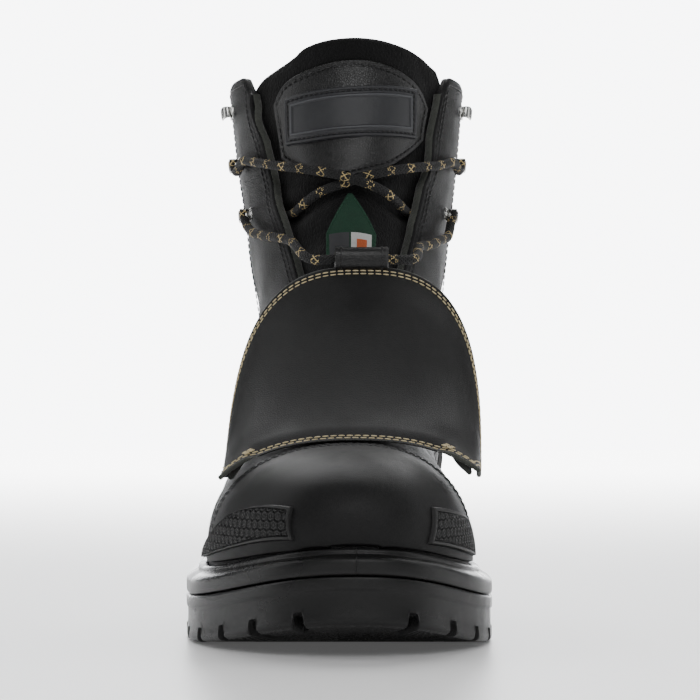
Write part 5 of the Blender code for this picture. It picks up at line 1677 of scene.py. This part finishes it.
patch_rows_1 = np.unique(np.concatenate([np.linspace(14.35, 15.42, 30), np.linspace(15.42, 16.78, 40)]))
left_edge, right_edge = patch_lines(patch_rows_1)
patch_share = edge_dense(50, 0.2)[None]
patch_angles = left_edge[:, None] + (right_edge - left_edge)[:, None] * patch_share
patch_rows = np.broadcast_to(patch_rows_1[:, None], patch_angles.shape)
rounded_slab("patch_woven", patch_rows, patch_angles, 0.0006, 0.001, 0.0005, PATCH_GREEN, "patch_fabric",
             ("tongue_patch",))
outline_rows = np.concatenate([np.linspace(14.5, 15.4, 30), np.linspace(15.43, 16.66, 40)])
edge_low, edge_high = patch_lines(outline_rows)
for edge, inward in ((edge_low, 1.2), (edge_high, -1.2)):
    at = edge + inward
    sew(on_tongue(outline_rows, at, 0.0016), last_normal(outline_rows, at),
        colour="green", pitch=0.0019, length=0.0015, width=0.0005)

SQUARES = (
    # lowest and highest row, leftmost and rightmost degree, name of the colour
    (14.5, 15.34, -11.0, 0.2, "black"), (14.5, 15.34, 1.0, 12.5, "white"),
    (14.72, 15.1, 4.0, 9.6, "orange"),
)
SQUARE_RISE = {"white": 0.00035, "black": 0.00035, "orange": 0.0006}
SQUARE_LOOKS = {"white": PATCH_WHITE, "black": BADGE_LOOK, "orange": PATCH_ORANGE}
for low, high, left, right, colour in SQUARES:
    square_rows = np.broadcast_to(np.linspace(low, high, 8)[:, None], (8, 8))
    square_angles = np.broadcast_to(np.linspace(left, right, 8)[None], (8, 8))
    base = on_tongue(square_rows, square_angles, 0.0014)
    lifted("patch_square_" + colour, base, last_normal(square_rows, square_angles), SQUARE_RISE[colour],
           0.0, SQUARE_LOOKS[colour], "patch_fabric")


# %% [markdown]
# ## Metatarsal guard
# The guard is a stiff leather plate, sewn down across the toe cap's back edge and standing free behind
# it, with a rounded top held by the lace. It is one curved sheet between two edges: the seam on the cap
# and a superellipse that rises to the lace. Thick leather shows its cut edge, so the rim is lighter and
# rough, and a felt lining lies under it.

# %% Guard surface
CAP_TOP = FIT_GAP + CAP_LEATHER + FIT_GAP
GUARD_LEATHER = 0.0022
GUARD_SEAT = 0.0002
GUARD_ROW = 6.0
GUARD_ANGLE = 54.0
GUARD_FLARE_LATERAL = 0.0034
GUARD_FLARE_MEDIAL = 0.0095
GUARD_HALF = 0.0505
GUARD_TOP = 0.1485
GUARD_TIP = 0.0635
GUARD_SWELL = 1.35
GUARD_RUN = 0.405
GUARD_REAR_RUN = 0.275
GUARD_POWER = 2.8
GUARD_MIDDLE = 0.05
GUARD_LEAN = 0.0036
GUARD_FELT = 0.0022
FELT_GAP = 0.0007


def guard_point(along, across):
    """Point of the guard's face: along runs from the seam to the rear edge, across from -1 to 1."""
    along, across = np.broadcast_arrays(np.asarray(along, dtype=float), np.asarray(across, dtype=float))
    spread = np.abs(across) ** 2
    lift = CAP_TOP + GUARD_LEATHER + GUARD_SEAT + spread * np.where(
        across > 0.0, GUARD_FLARE_MEDIAL, GUARD_FLARE_LATERAL)
    front = skin(np.full(across.shape, GUARD_ROW), across * GUARD_ANGLE, lift)
    turn = np.abs(across) * 0.5 * np.pi
    power = 2.0 / GUARD_POWER
    side = np.clip(np.sin(turn), 0.0, 1.0) ** power
    rise = np.clip(np.cos(turn), 0.0, 1.0) ** power
    rear_x = GUARD_MIDDLE * BALL_WIDTH + GUARD_LEAN * rise + np.sign(across) * GUARD_HALF * side
    run = GUARD_REAR_RUN + (GUARD_RUN - GUARD_REAR_RUN) * rise
    rear_z = GUARD_TIP + (GUARD_TOP - GUARD_TIP) * rise
    rear = np.stack([rear_x, (run - 0.5) * SOLE_LENGTH, rear_z], axis=-1)
    plan = along[..., None]
    point = front * (1.0 - plan) + rear * plan
    swell = np.clip(along, 0.0, None) ** GUARD_SWELL
    point[..., 2] = front[..., 2] * (1.0 - swell) + rear[..., 2] * swell
    return point


def guard_normal(along, across):
    """Outward direction of the guard's face from small steps both ways."""
    along, across = np.broadcast_arrays(np.asarray(along, dtype=float), np.asarray(across, dtype=float))
    step = 0.004
    low, high = np.clip(along - step, 0.0, 1.0), np.clip(along + step, 0.0, 1.0)
    run = guard_point(high, across) - guard_point(low, across)
    left, right = np.clip(across - step, -0.999, 0.999), np.clip(across + step, -0.999, 0.999)
    reach = guard_point(along, right) - guard_point(along, left)
    return unit(np.cross(reach, run))


# %% Guard
GUARD_ALONG = 104
GUARD_ACROSS = 184
along_line = edge_dense(GUARD_ALONG, 0.35)
across_line = np.sin(np.linspace(-0.5, 0.5, GUARD_ACROSS) * np.pi * 0.999)
guard_along, guard_across = np.meshgrid(along_line, across_line, indexing="ij")
guard_face = guard_point(guard_along, guard_across)
guard_out = guard_normal(guard_along, guard_across)
guard_edge = edge_distance(guard_face)
sag = (0.0005 * np.sin(9.0 * guard_across + 2.0) * np.sin(6.0 * guard_along)
       + 0.0004 * np.sin(5.0 * guard_across - 7.0 * guard_along))
sag = sag * ramp(guard_edge, 0.004, 0.02)
press = -0.00025 * np.exp(-((guard_edge - 0.0031) / 0.0016) ** 2)
guard_depth = np.minimum(rolled(guard_edge, 0.0007), 0.0006)
skived = 0.0015 * (1.0 - ramp(run_of(guard_face), 0.001, 0.009))
skived = skived * (1.0 - ramp(np.abs(guard_across), 0.62, 0.78))
outer = guard_face + guard_out * (sag + press - guard_depth - skived)[..., None]
inner = guard_face - guard_out * (GUARD_LEATHER - 0.0004 - 0.3 * guard_depth)[..., None]
shell("guard_leather", outer, inner, GUARD_HIDE, "black_leather", ("guard",))
sheet_size("guard", guard_face)


rim_path, rim_thick = grid_loop(0.5 * (outer + inner), outer - inner, 0.00035)
rim_out = unit(rim_thick)
ROD_AROUND = 8


def rod(name, path, across_way, out, half_wide, half_tall, material, slot, ends=False, rough=0.0):
    """Closed bar along a path with an oval section, slightly uneven like a cut edge."""
    turn = circle(ROD_AROUND)
    uneven = 1.0 + rough * np.sin(np.arange(len(path)) * 2.1)[:, None] * np.cos(2.0 * turn)[None]
    points = (path[:, None] + across_way[:, None] * (np.cos(turn)[None] * half_wide * uneven)[..., None]
              + out[:, None] * (np.sin(turn)[None] * half_tall * uneven)[..., None])
    if ends:
        return build(name, points, tube_faces(len(path), ROD_AROUND), material, slot)
    points = np.concatenate([points, points[:1]])
    return build(name, points, grid_quads(len(path) + 1, ROD_AROUND, wrap=True), material, slot)


path = rim_path[:-1]
forward = unit(np.roll(path, -1, axis=0) - np.roll(path, 1, axis=0))
rim_half = 0.5 * np.linalg.norm(rim_thick[:-1], axis=1)[:, None]
rod("guard_cut_edge", path, unit(np.cross(rim_out[:-1], forward)), rim_out[:-1], 0.0007,
    1.12 * rim_half, CUT_EDGE, "guard_felt", rough=0.08)

for inset in (0.0025, 0.0042):
    seam, seam_out = grid_loop(outer, guard_out, inset)
    sew(seam, seam_out, "tan", 0.0031, 0.0024, 0.0006)

# %% [markdown]
# ## Bartacks
# Where the guard's seam ends, short dense stitch rows keep it from tearing. They use the stitch maker with a
# smaller pitch, three rows beside each other at both ends.

# %% Bartacks at the seam's ends
for side in (-1.0, 1.0):
    for number in range(3):
        across = side * (np.linspace(0.655, 0.735, 20) + 0.012 * number)
        along = 0.055 + 0.019 * number + np.linspace(0.0, 0.01, 20)
        tack, tack_out = guard_point(along, across), guard_normal(along, across)
        sew(tack + tack_out * SKIN_LIFT, tack_out, "tan", 0.0022, 0.002, 0.0006)

# %% [markdown]
# ## Guard lining
# Grey felt lies under the leather and looks out a little at the two wings. It is the guard's own surface
# again, sunk by the leather's thickness and a small gap, and cut back in front where the guard is sewn.

# %% Guard lining
lining_share, lining_across = np.meshgrid(edge_dense(70, 0.2), across_line[::3] * 0.975, indexing="ij")
lining_start = 0.2 - 0.13 * ramp(lining_across, 0.7, 0.9) - 0.07 * ramp(-lining_across, 0.78, 0.92)
lining_along = lining_start + (0.985 - lining_start) * lining_share
lining_face = guard_point(lining_along, lining_across)
lining_out = guard_normal(lining_along, lining_across)
sheet_size("felt lining", lining_face)
sunk = GUARD_LEATHER + FELT_GAP
lining_roll = np.minimum(rolled(edge_distance(lining_face), 0.0009), 0.0008)
lifted("guard_felt", lining_face, lining_out, -sunk - lining_roll, lining_roll - sunk - GUARD_FELT,
       FELT_LOOK, "guard_felt", ("guard_lining",))

# %% [markdown]
# ## Mould seam
# Where the two halves of the sole's mould met, a fine bead of rubber runs over the toe. It could be a
# crease in the welt, but so thin a bead is better its own bar along the welt's profile.

# %% Mould seam
tip_x, tip_y = outline(0.0, 0.0)[1:]
seam_profile = np.array(MIDSOLE_PROFILE[5:-1]) / 1000.0
seam_y = tip_y + seam_profile[:, 0]
seam_z = lip_line(station_of(seam_y)) - seam_profile[:, 1]
seam_line = np.stack([np.full(len(seam_y), float(tip_x)), seam_y, seam_z], axis=1)
seam_line = smooth_path(seam_line, 0.0006, 0)
seam_ahead = unit(np.gradient(seam_line, axis=0))
seam_across = np.broadcast_to(np.array([1.0, 0.0, 0.0]), seam_line.shape)
rod("mould_seam", seam_line, seam_across, np.cross(seam_across, seam_ahead), 0.00022, 0.00028,
    SOLE_RUBBER, "midsole_rubber", ends=True)

# %% [markdown]
# ## Keeper tab
# At the guard's top a short leather tab is folded over the lace, so the guard hangs from it. It is a
# flattened tube with leather-thick walls; its ends show the fold's layers and the lace going in.

# %% Keeper
KEEPER_WIDTH = 0.022
KEEPER_LEATHER = 0.0016
KEEPER_SLACK = 0.001
KEEPER_SQUARE = 0.72
keeper_inner = 0.5 * LACE_DIAMETER + KEEPER_SLACK
keeper_outer = keeper_inner + KEEPER_LEATHER
guard_peak = guard_point(np.array(1.0), np.array(0.0))
keeper_middle = guard_peak + np.array([0.0, 0.002, keeper_outer + FIT_GAP - 0.002])
keeper_across = edge_dense(40, 0.3)
keeper_turn = circle(64)
keeper_x = (keeper_across - 0.5) * KEEPER_WIDTH
waist = 1.0 + 0.05 * (2.0 * keeper_across - 1.0) ** 2
end_roll = rolled(np.minimum(keeper_across, 1.0 - keeper_across) * KEEPER_WIDTH, 0.0006)


def squared(value, power):
    """Cosine or sine of a turn, bent so that the circle becomes squarish."""
    return np.sign(value) * np.abs(value) ** power


def keeper_ring(radius):
    """Grid of the tab's tube: X from side to side, and a round, slightly flattened section."""
    y = keeper_middle[1] + radius[:, None] * squared(np.cos(keeper_turn), KEEPER_SQUARE)[None]
    z = keeper_middle[2] + radius[:, None] * squared(np.sin(keeper_turn), KEEPER_SQUARE)[None]
    return np.stack([np.broadcast_to(keeper_middle[0] + keeper_x[:, None], y.shape), y, z], axis=-1)


keeper_out = keeper_ring((keeper_outer + 0.0004) * waist - end_roll)
keeper_in = keeper_ring(keeper_inner * waist)
count = len(keeper_turn)
tube_rows = len(keeper_x)
faces = [grid_quads(tube_rows, count, wrap=True),
         grid_quads(tube_rows, count, tube_rows * count, wrap=True)[:, ::-1]]
for row in (0, tube_rows - 1):
    index = np.arange(count) + row * count
    after = np.roll(index, -1)
    rim = np.stack([index, index + tube_rows * count, after + tube_rows * count, after], axis=-1)
    faces.append(rim if row else rim[:, ::-1])
build("keeper_tab", np.concatenate([keeper_out.reshape(-1, 3), keeper_in.reshape(-1, 3)]),
      np.concatenate(faces), KEEPER_HIDE, "smooth_leather", ("guard_keeper",))
for share in (0.12, 0.88):
    turn = np.linspace(-2.2, 1.2, 40) + np.pi
    middle = keeper_middle + np.array([(share - 0.5) * KEEPER_WIDTH, 0.0, 0.0])
    ring_way = np.stack([np.zeros(40), squared(np.cos(turn), KEEPER_SQUARE),
                         squared(np.sin(turn), KEEPER_SQUARE)], axis=1)
    sew(middle + ring_way * (keeper_outer + 0.0004) * 1.03, unit(ring_way), pitch=0.0026, length=0.002)

# %% [markdown]
# ## Speed hooks
# Each hook is a strip of steel stamped and folded over, riveted through the facing. A strip is a
# profile given once as reach and lift in shares of the hook's length, its corners rounded by a smooth
# curve through them, and the same profile stands at all six spots with its own outward direction.

# %% Hooks
HOOK_LENGTH = 0.008
HOOK_WIDTH = 0.0056
HOOK_SPOTS = ((20.3, 76.0), (19.0, 73.0), (17.6, 68.0))
HOOK_SEAT = FIT_GAP + STAY_LEATHER + 0.0006
HOOK_FOLD = ((-0.36, 0.05), (-0.1, 0.05), (0.25, 0.05), (0.47, 0.05), (0.6, 0.055), (0.56, 0.07),
             (0.3, 0.09), (0.08, 0.12), (-0.03, 0.21), (-0.07, 0.3), (-0.03, 0.4), (0.08, 0.48),
             (0.28, 0.52), (0.5, 0.53), (0.56, 0.57))
STEEL_SHEET = 0.0008
RIVET_RADIUS = 0.0016
STRIP_AROUND = 16
RIVET_AROUND = 24


def hook_frame(row, angle, side):
    """Seat of a hook on the facing and its three directions: outwards, up along the edge and back."""
    at = np.array([row]), np.array([side * angle])
    seat = skin(*at, np.array([HOOK_SEAT]))[0]
    out = last_normal(*at)[0]
    up = (last_point(at[0] + 0.1, at[1]) - last_point(at[0] - 0.1, at[1]))[0]
    up = unit(up - out * (up @ out))
    back = np.cross(out, up) * -side
    return seat, out, up, back


def make_hook(name, row, angle, side):
    """Folded steel strip with rounded corners and soft edges, and the rivet's head on its foot."""
    seat, out, up, back = hook_frame(row, angle, side)
    knots = np.array(HOOK_FOLD)
    t = np.arange(len(knots), dtype=float)
    fine = np.linspace(0.0, t[-1], 72)
    fold = np.stack([flowing(t, knots[:, 0], fine), flowing(t, knots[:, 1], fine)], axis=1) * HOOK_LENGTH
    direction = np.gradient(fold, axis=0)
    direction /= np.linalg.norm(direction, axis=1, keepdims=True)
    sheet_way = np.stack([-direction[:, 1], direction[:, 0]], axis=1)
    turn = circle(STRIP_AROUND)
    wide = squared(np.cos(turn), 0.35)
    tall = squared(np.sin(turn), 0.55)
    run = np.linspace(0.0, 1.0, len(fold))
    past = np.clip((np.abs(2.0 * run - 1.0) - 0.9) / 0.1, 0.0, 1.0)
    ends = np.sqrt(np.clip(1.0 - past ** 2, 0.02, 1.0))
    waist = (1.0 - 0.1 * np.exp(-((run - 0.6) / 0.14) ** 2)) * (0.55 + 0.45 * ends)
    reach = fold[:, None, 0] + sheet_way[:, None, 0] * tall[None] * 0.5 * STEEL_SHEET
    rise = fold[:, None, 1] + sheet_way[:, None, 1] * tall[None] * 0.5 * STEEL_SHEET
    over = wide[None] * 0.5 * HOOK_WIDTH * waist[:, None]
    points = seat + back * reach[..., None] + out * rise[..., None] + up * over[..., None]
    build(name + "_strip", points, tube_faces(len(fold), STRIP_AROUND), STEEL_LOOK, "hook_steel", (name,))
    around = circle(RIVET_AROUND)
    dome = np.array([[1.0, 0.0], [1.0, 0.25], [0.88, 0.5], [0.6, 0.72], [0.25, 0.82], [0.02, 0.84]])
    middle = seat - back * 0.2 * HOOK_LENGTH + out * STEEL_SHEET
    disc = np.cos(around)[:, None] * up + np.sin(around)[:, None] * back
    rivet = middle + dome[:, :1, None] * RIVET_RADIUS * disc + dome[:, 1:, None] * STEEL_SHEET * out
    build(name + "_rivet", rivet, tube_faces(len(dome), RIVET_AROUND), STEEL_LOOK, "hook_steel")


for side, word in ((-1, "lateral"), (1, "medial")):
    for number, (row, angle) in enumerate(HOOK_SPOTS, 1):
        make_hook("hook_%s_%d" % (word, number), row, angle, side)

# %% [markdown]
# ## The lace
# One braided cord runs from hook to hook: down across the tongue, round the lowest hook, through the
# keeper tab, and back up the other way. The path is a smooth curve through places on the last and
# places beside the hooks, and the cord is a circle carried along it. Its ends are tucked away at the
# middle hooks. The weave and the tan flecks are drawn by the cord's own length and turn.

# %% Lace path
HOOK_WRAP = (
    # shares along up and back of a hook and lift off its seat, in millimetres
    (4.6, -3.4, 2.6), (2.6, 0.4, 2.9), (0.0, 1.5, 3.0), (-2.6, 0.4, 2.9), (-4.6, -3.4, 2.6),
)
LACE_KEEPER_LATERAL = ((16.9, -60.0, 1.45), (16.4, -50.0, 1.6), (15.8, -37.0, 1.9), (15.35, -28.0, 2.1))
LACE_KEEPER_MEDIAL = ((16.9, 64.0, 1.45), (16.4, 54.0, 1.6), (15.8, 44.0, 1.9), (15.4, 35.0, 2.1))
KEEPER_RUN = ((-1.75, 0.9), (-1.1, 0.12), (-0.4, 0.0), (0.4, 0.0), (1.1, 0.12), (1.75, 0.9))


def around_hook(number, side):
    """Places where the lace passes behind a hook, from above it to below it."""
    seat, out, up, back = hook_frame(*HOOK_SPOTS[number - 1], side)
    return np.array([seat + (up * high + back * far + out * off) / 1000.0 for high, far, off in HOOK_WRAP])


keeper_places = np.array([keeper_middle + np.array([reach * 0.5 * KEEPER_WIDTH, lift * LACE_DIAMETER, 0.0])
                          for reach, lift in KEEPER_RUN])


LACE_RUNS = (
    np.concatenate([around_hook(2, -1)[1:4], lace_spots(LACE_DOWN)]),
    np.concatenate([around_hook(2, 1)[1:4], lace_spots(LACE_UP)]),
    np.concatenate([around_hook(3, -1)[1:4], lace_spots(LACE_KEEPER_LATERAL), keeper_places,
                    lace_spots(LACE_KEEPER_MEDIAL[::-1]), around_hook(3, 1)[1:4][::-1]]),
)
lace_paths = [smooth_path(knots, 0.0008, 8) for knots in LACE_RUNS]

# %% [markdown]
# ## The cord itself
# A braid could be modelled strand by strand, at a great cost for a 4 mm cord. Here it is a round tube whose
# surface knows its own length and turn in its UV map, and the braid is drawn as relief and colour.

# %% Lace cord
LACE_AROUND = 28


def carried_frames(path):
    """Two directions across a path that turn with it as little as possible."""
    forward = unit(np.gradient(path, axis=0))
    first = unit(np.cross(forward[0], np.array([0.0, 0.0, 1.0])))
    ways = [first]
    for direction in forward[1:]:
        way = ways[-1] - direction * (ways[-1] @ direction)
        ways.append(way / np.linalg.norm(way))
    ways = np.array(ways)
    return ways, np.cross(forward, ways)


def make_cord(paths):
    """Round cord along every path: rings of points, a turn counted once around for the weave."""
    turn = np.linspace(0.0, 2.0 * np.pi, LACE_AROUND + 1)
    fan = np.array([[0, k, k + 1, k + 2] for k in range(1, LACE_AROUND - 1, 2)])
    points, faces, uvs = [], [], []
    first = 0
    for path in paths:
        way, other = carried_frames(path)
        run = run_of(path)
        radius = (0.5 * LACE_DIAMETER * (1.0 + 0.012 * np.sin(run * 900.0)))[:, None, None]
        disc = np.cos(turn)[:, None] * way[:, None] + np.sin(turn)[:, None] * other[:, None]
        points.append((path[:, None] + disc * radius).reshape(-1, 3))
        where = np.broadcast_arrays(run[:, None] * 1000.0, turn[None] / (2.0 * np.pi))
        uvs.append(np.stack(where, axis=-1).reshape(-1, 2))
        last = first + (len(path) - 1) * (LACE_AROUND + 1)
        faces += [grid_quads(len(path), LACE_AROUND + 1, first), fan[:, ::-1] + first, fan + last]
        first += len(points[-1])
        print("lace run", round(run[-1] * 1000), "mm")
    return np.concatenate(points), np.concatenate(faces), np.concatenate(uvs)


BRAID_PITCH = 1.7
FLECK_GROUP = 10.5
FLECK_PITCH = 3.2


def braid_material():
    """Black braid: two opposed diagonal waves of the cord's length and turn, with tan flecks in groups.

    The three pitches are millimetres along the cord: of the strands, of the groups and of the flecks.
    """
    material = bpy.data.materials.new("lace_braid")
    material.use_nodes = True
    tree = material.node_tree
    shader = tree.nodes["Principled BSDF"]
    spot = add_node(tree, "ShaderNodeSeparateXYZ", links={
        "Vector": add_node(tree, "ShaderNodeUVMap", uv_map="surface").outputs[0]})
    length, turned = spot.outputs[0], spot.outputs[1]
    around = math_node(tree, "MULTIPLY", turned, 2.0 * math.pi * 8.0)
    down = math_node(tree, "MULTIPLY", length, 2.0 * math.pi / BRAID_PITCH)
    waves = [math_node(tree, "SINE", math_node(tree, kind, down, around)) for kind in ("ADD", "SUBTRACT")]
    strand = math_node(tree, "MAXIMUM", waves[0], waves[1])
    group_at = math_node(tree, "FRACT", math_node(tree, "MULTIPLY", length, 1.0 / FLECK_GROUP))
    in_group = math_node(tree, "LESS_THAN", group_at, 0.34)
    lean = math_node(tree, "MULTIPLY", length, 1.0 / FLECK_PITCH)
    wind = math_node(tree, "MULTIPLY", turned, 4.0)
    slants = []
    for kind in ("ADD", "SUBTRACT"):
        slant = math_node(tree, "FRACT", math_node(tree, kind, lean, wind))
        slants.append(math_node(tree, "LESS_THAN", slant, 0.24))
    fleck = math_node(tree, "MULTIPLY", math_node(tree, "MAXIMUM", slants[0], slants[1]), in_group)
    over = math_node(tree, "GREATER_THAN", strand, 0.45)
    fleck = math_node(tree, "MULTIPLY", fleck, over)
    colour = mix_colour(tree, fleck, (0.006, 0.006, 0.006), (0.72, 0.55, 0.26))
    tree.links.new(colour, shader.inputs["Base Color"])
    bump = add_node(tree, "ShaderNodeBump", {"Strength": 1.0, "Distance": 0.00025}, {"Height": strand})
    tree.links.new(bump.outputs["Normal"], shader.inputs["Normal"])
    shader.inputs["Roughness"].default_value = 0.72
    shader.inputs["Sheen Weight"].default_value = 0.03
    return material


lace_points, lace_faces, lace_uv = make_cord(lace_paths)
build("lace_cord", lace_points, lace_faces, braid_material(), "lace_cord",
      ("lace_crossing", "lace_keeper_run"), uv=lace_uv, heal=False)

# %% [markdown]
# ## All the stitches
# Every seam above only noted where its stitches lie. Now each colour becomes one mesh, so that thousands
# of stitches cost three objects.

# %% Stitch meshes
THREAD_GREEN = nap_look("thread_green", (0.008, 0.05, 0.025), (0.015, 0.08, 0.04), (0.6, 0.75), 1.5,
                        0.0002)
THREADS = {"tan": (THREAD_TAN, "smooth_leather"), "black": (THREAD_BLACK, "black_leather"),
           "green": (THREAD_GREEN, "patch_fabric")}
for colour, (points, faces) in STITCHES.items():
    build("stitches_" + colour, np.concatenate(points), np.concatenate(faces), *THREADS[colour], heal=False)
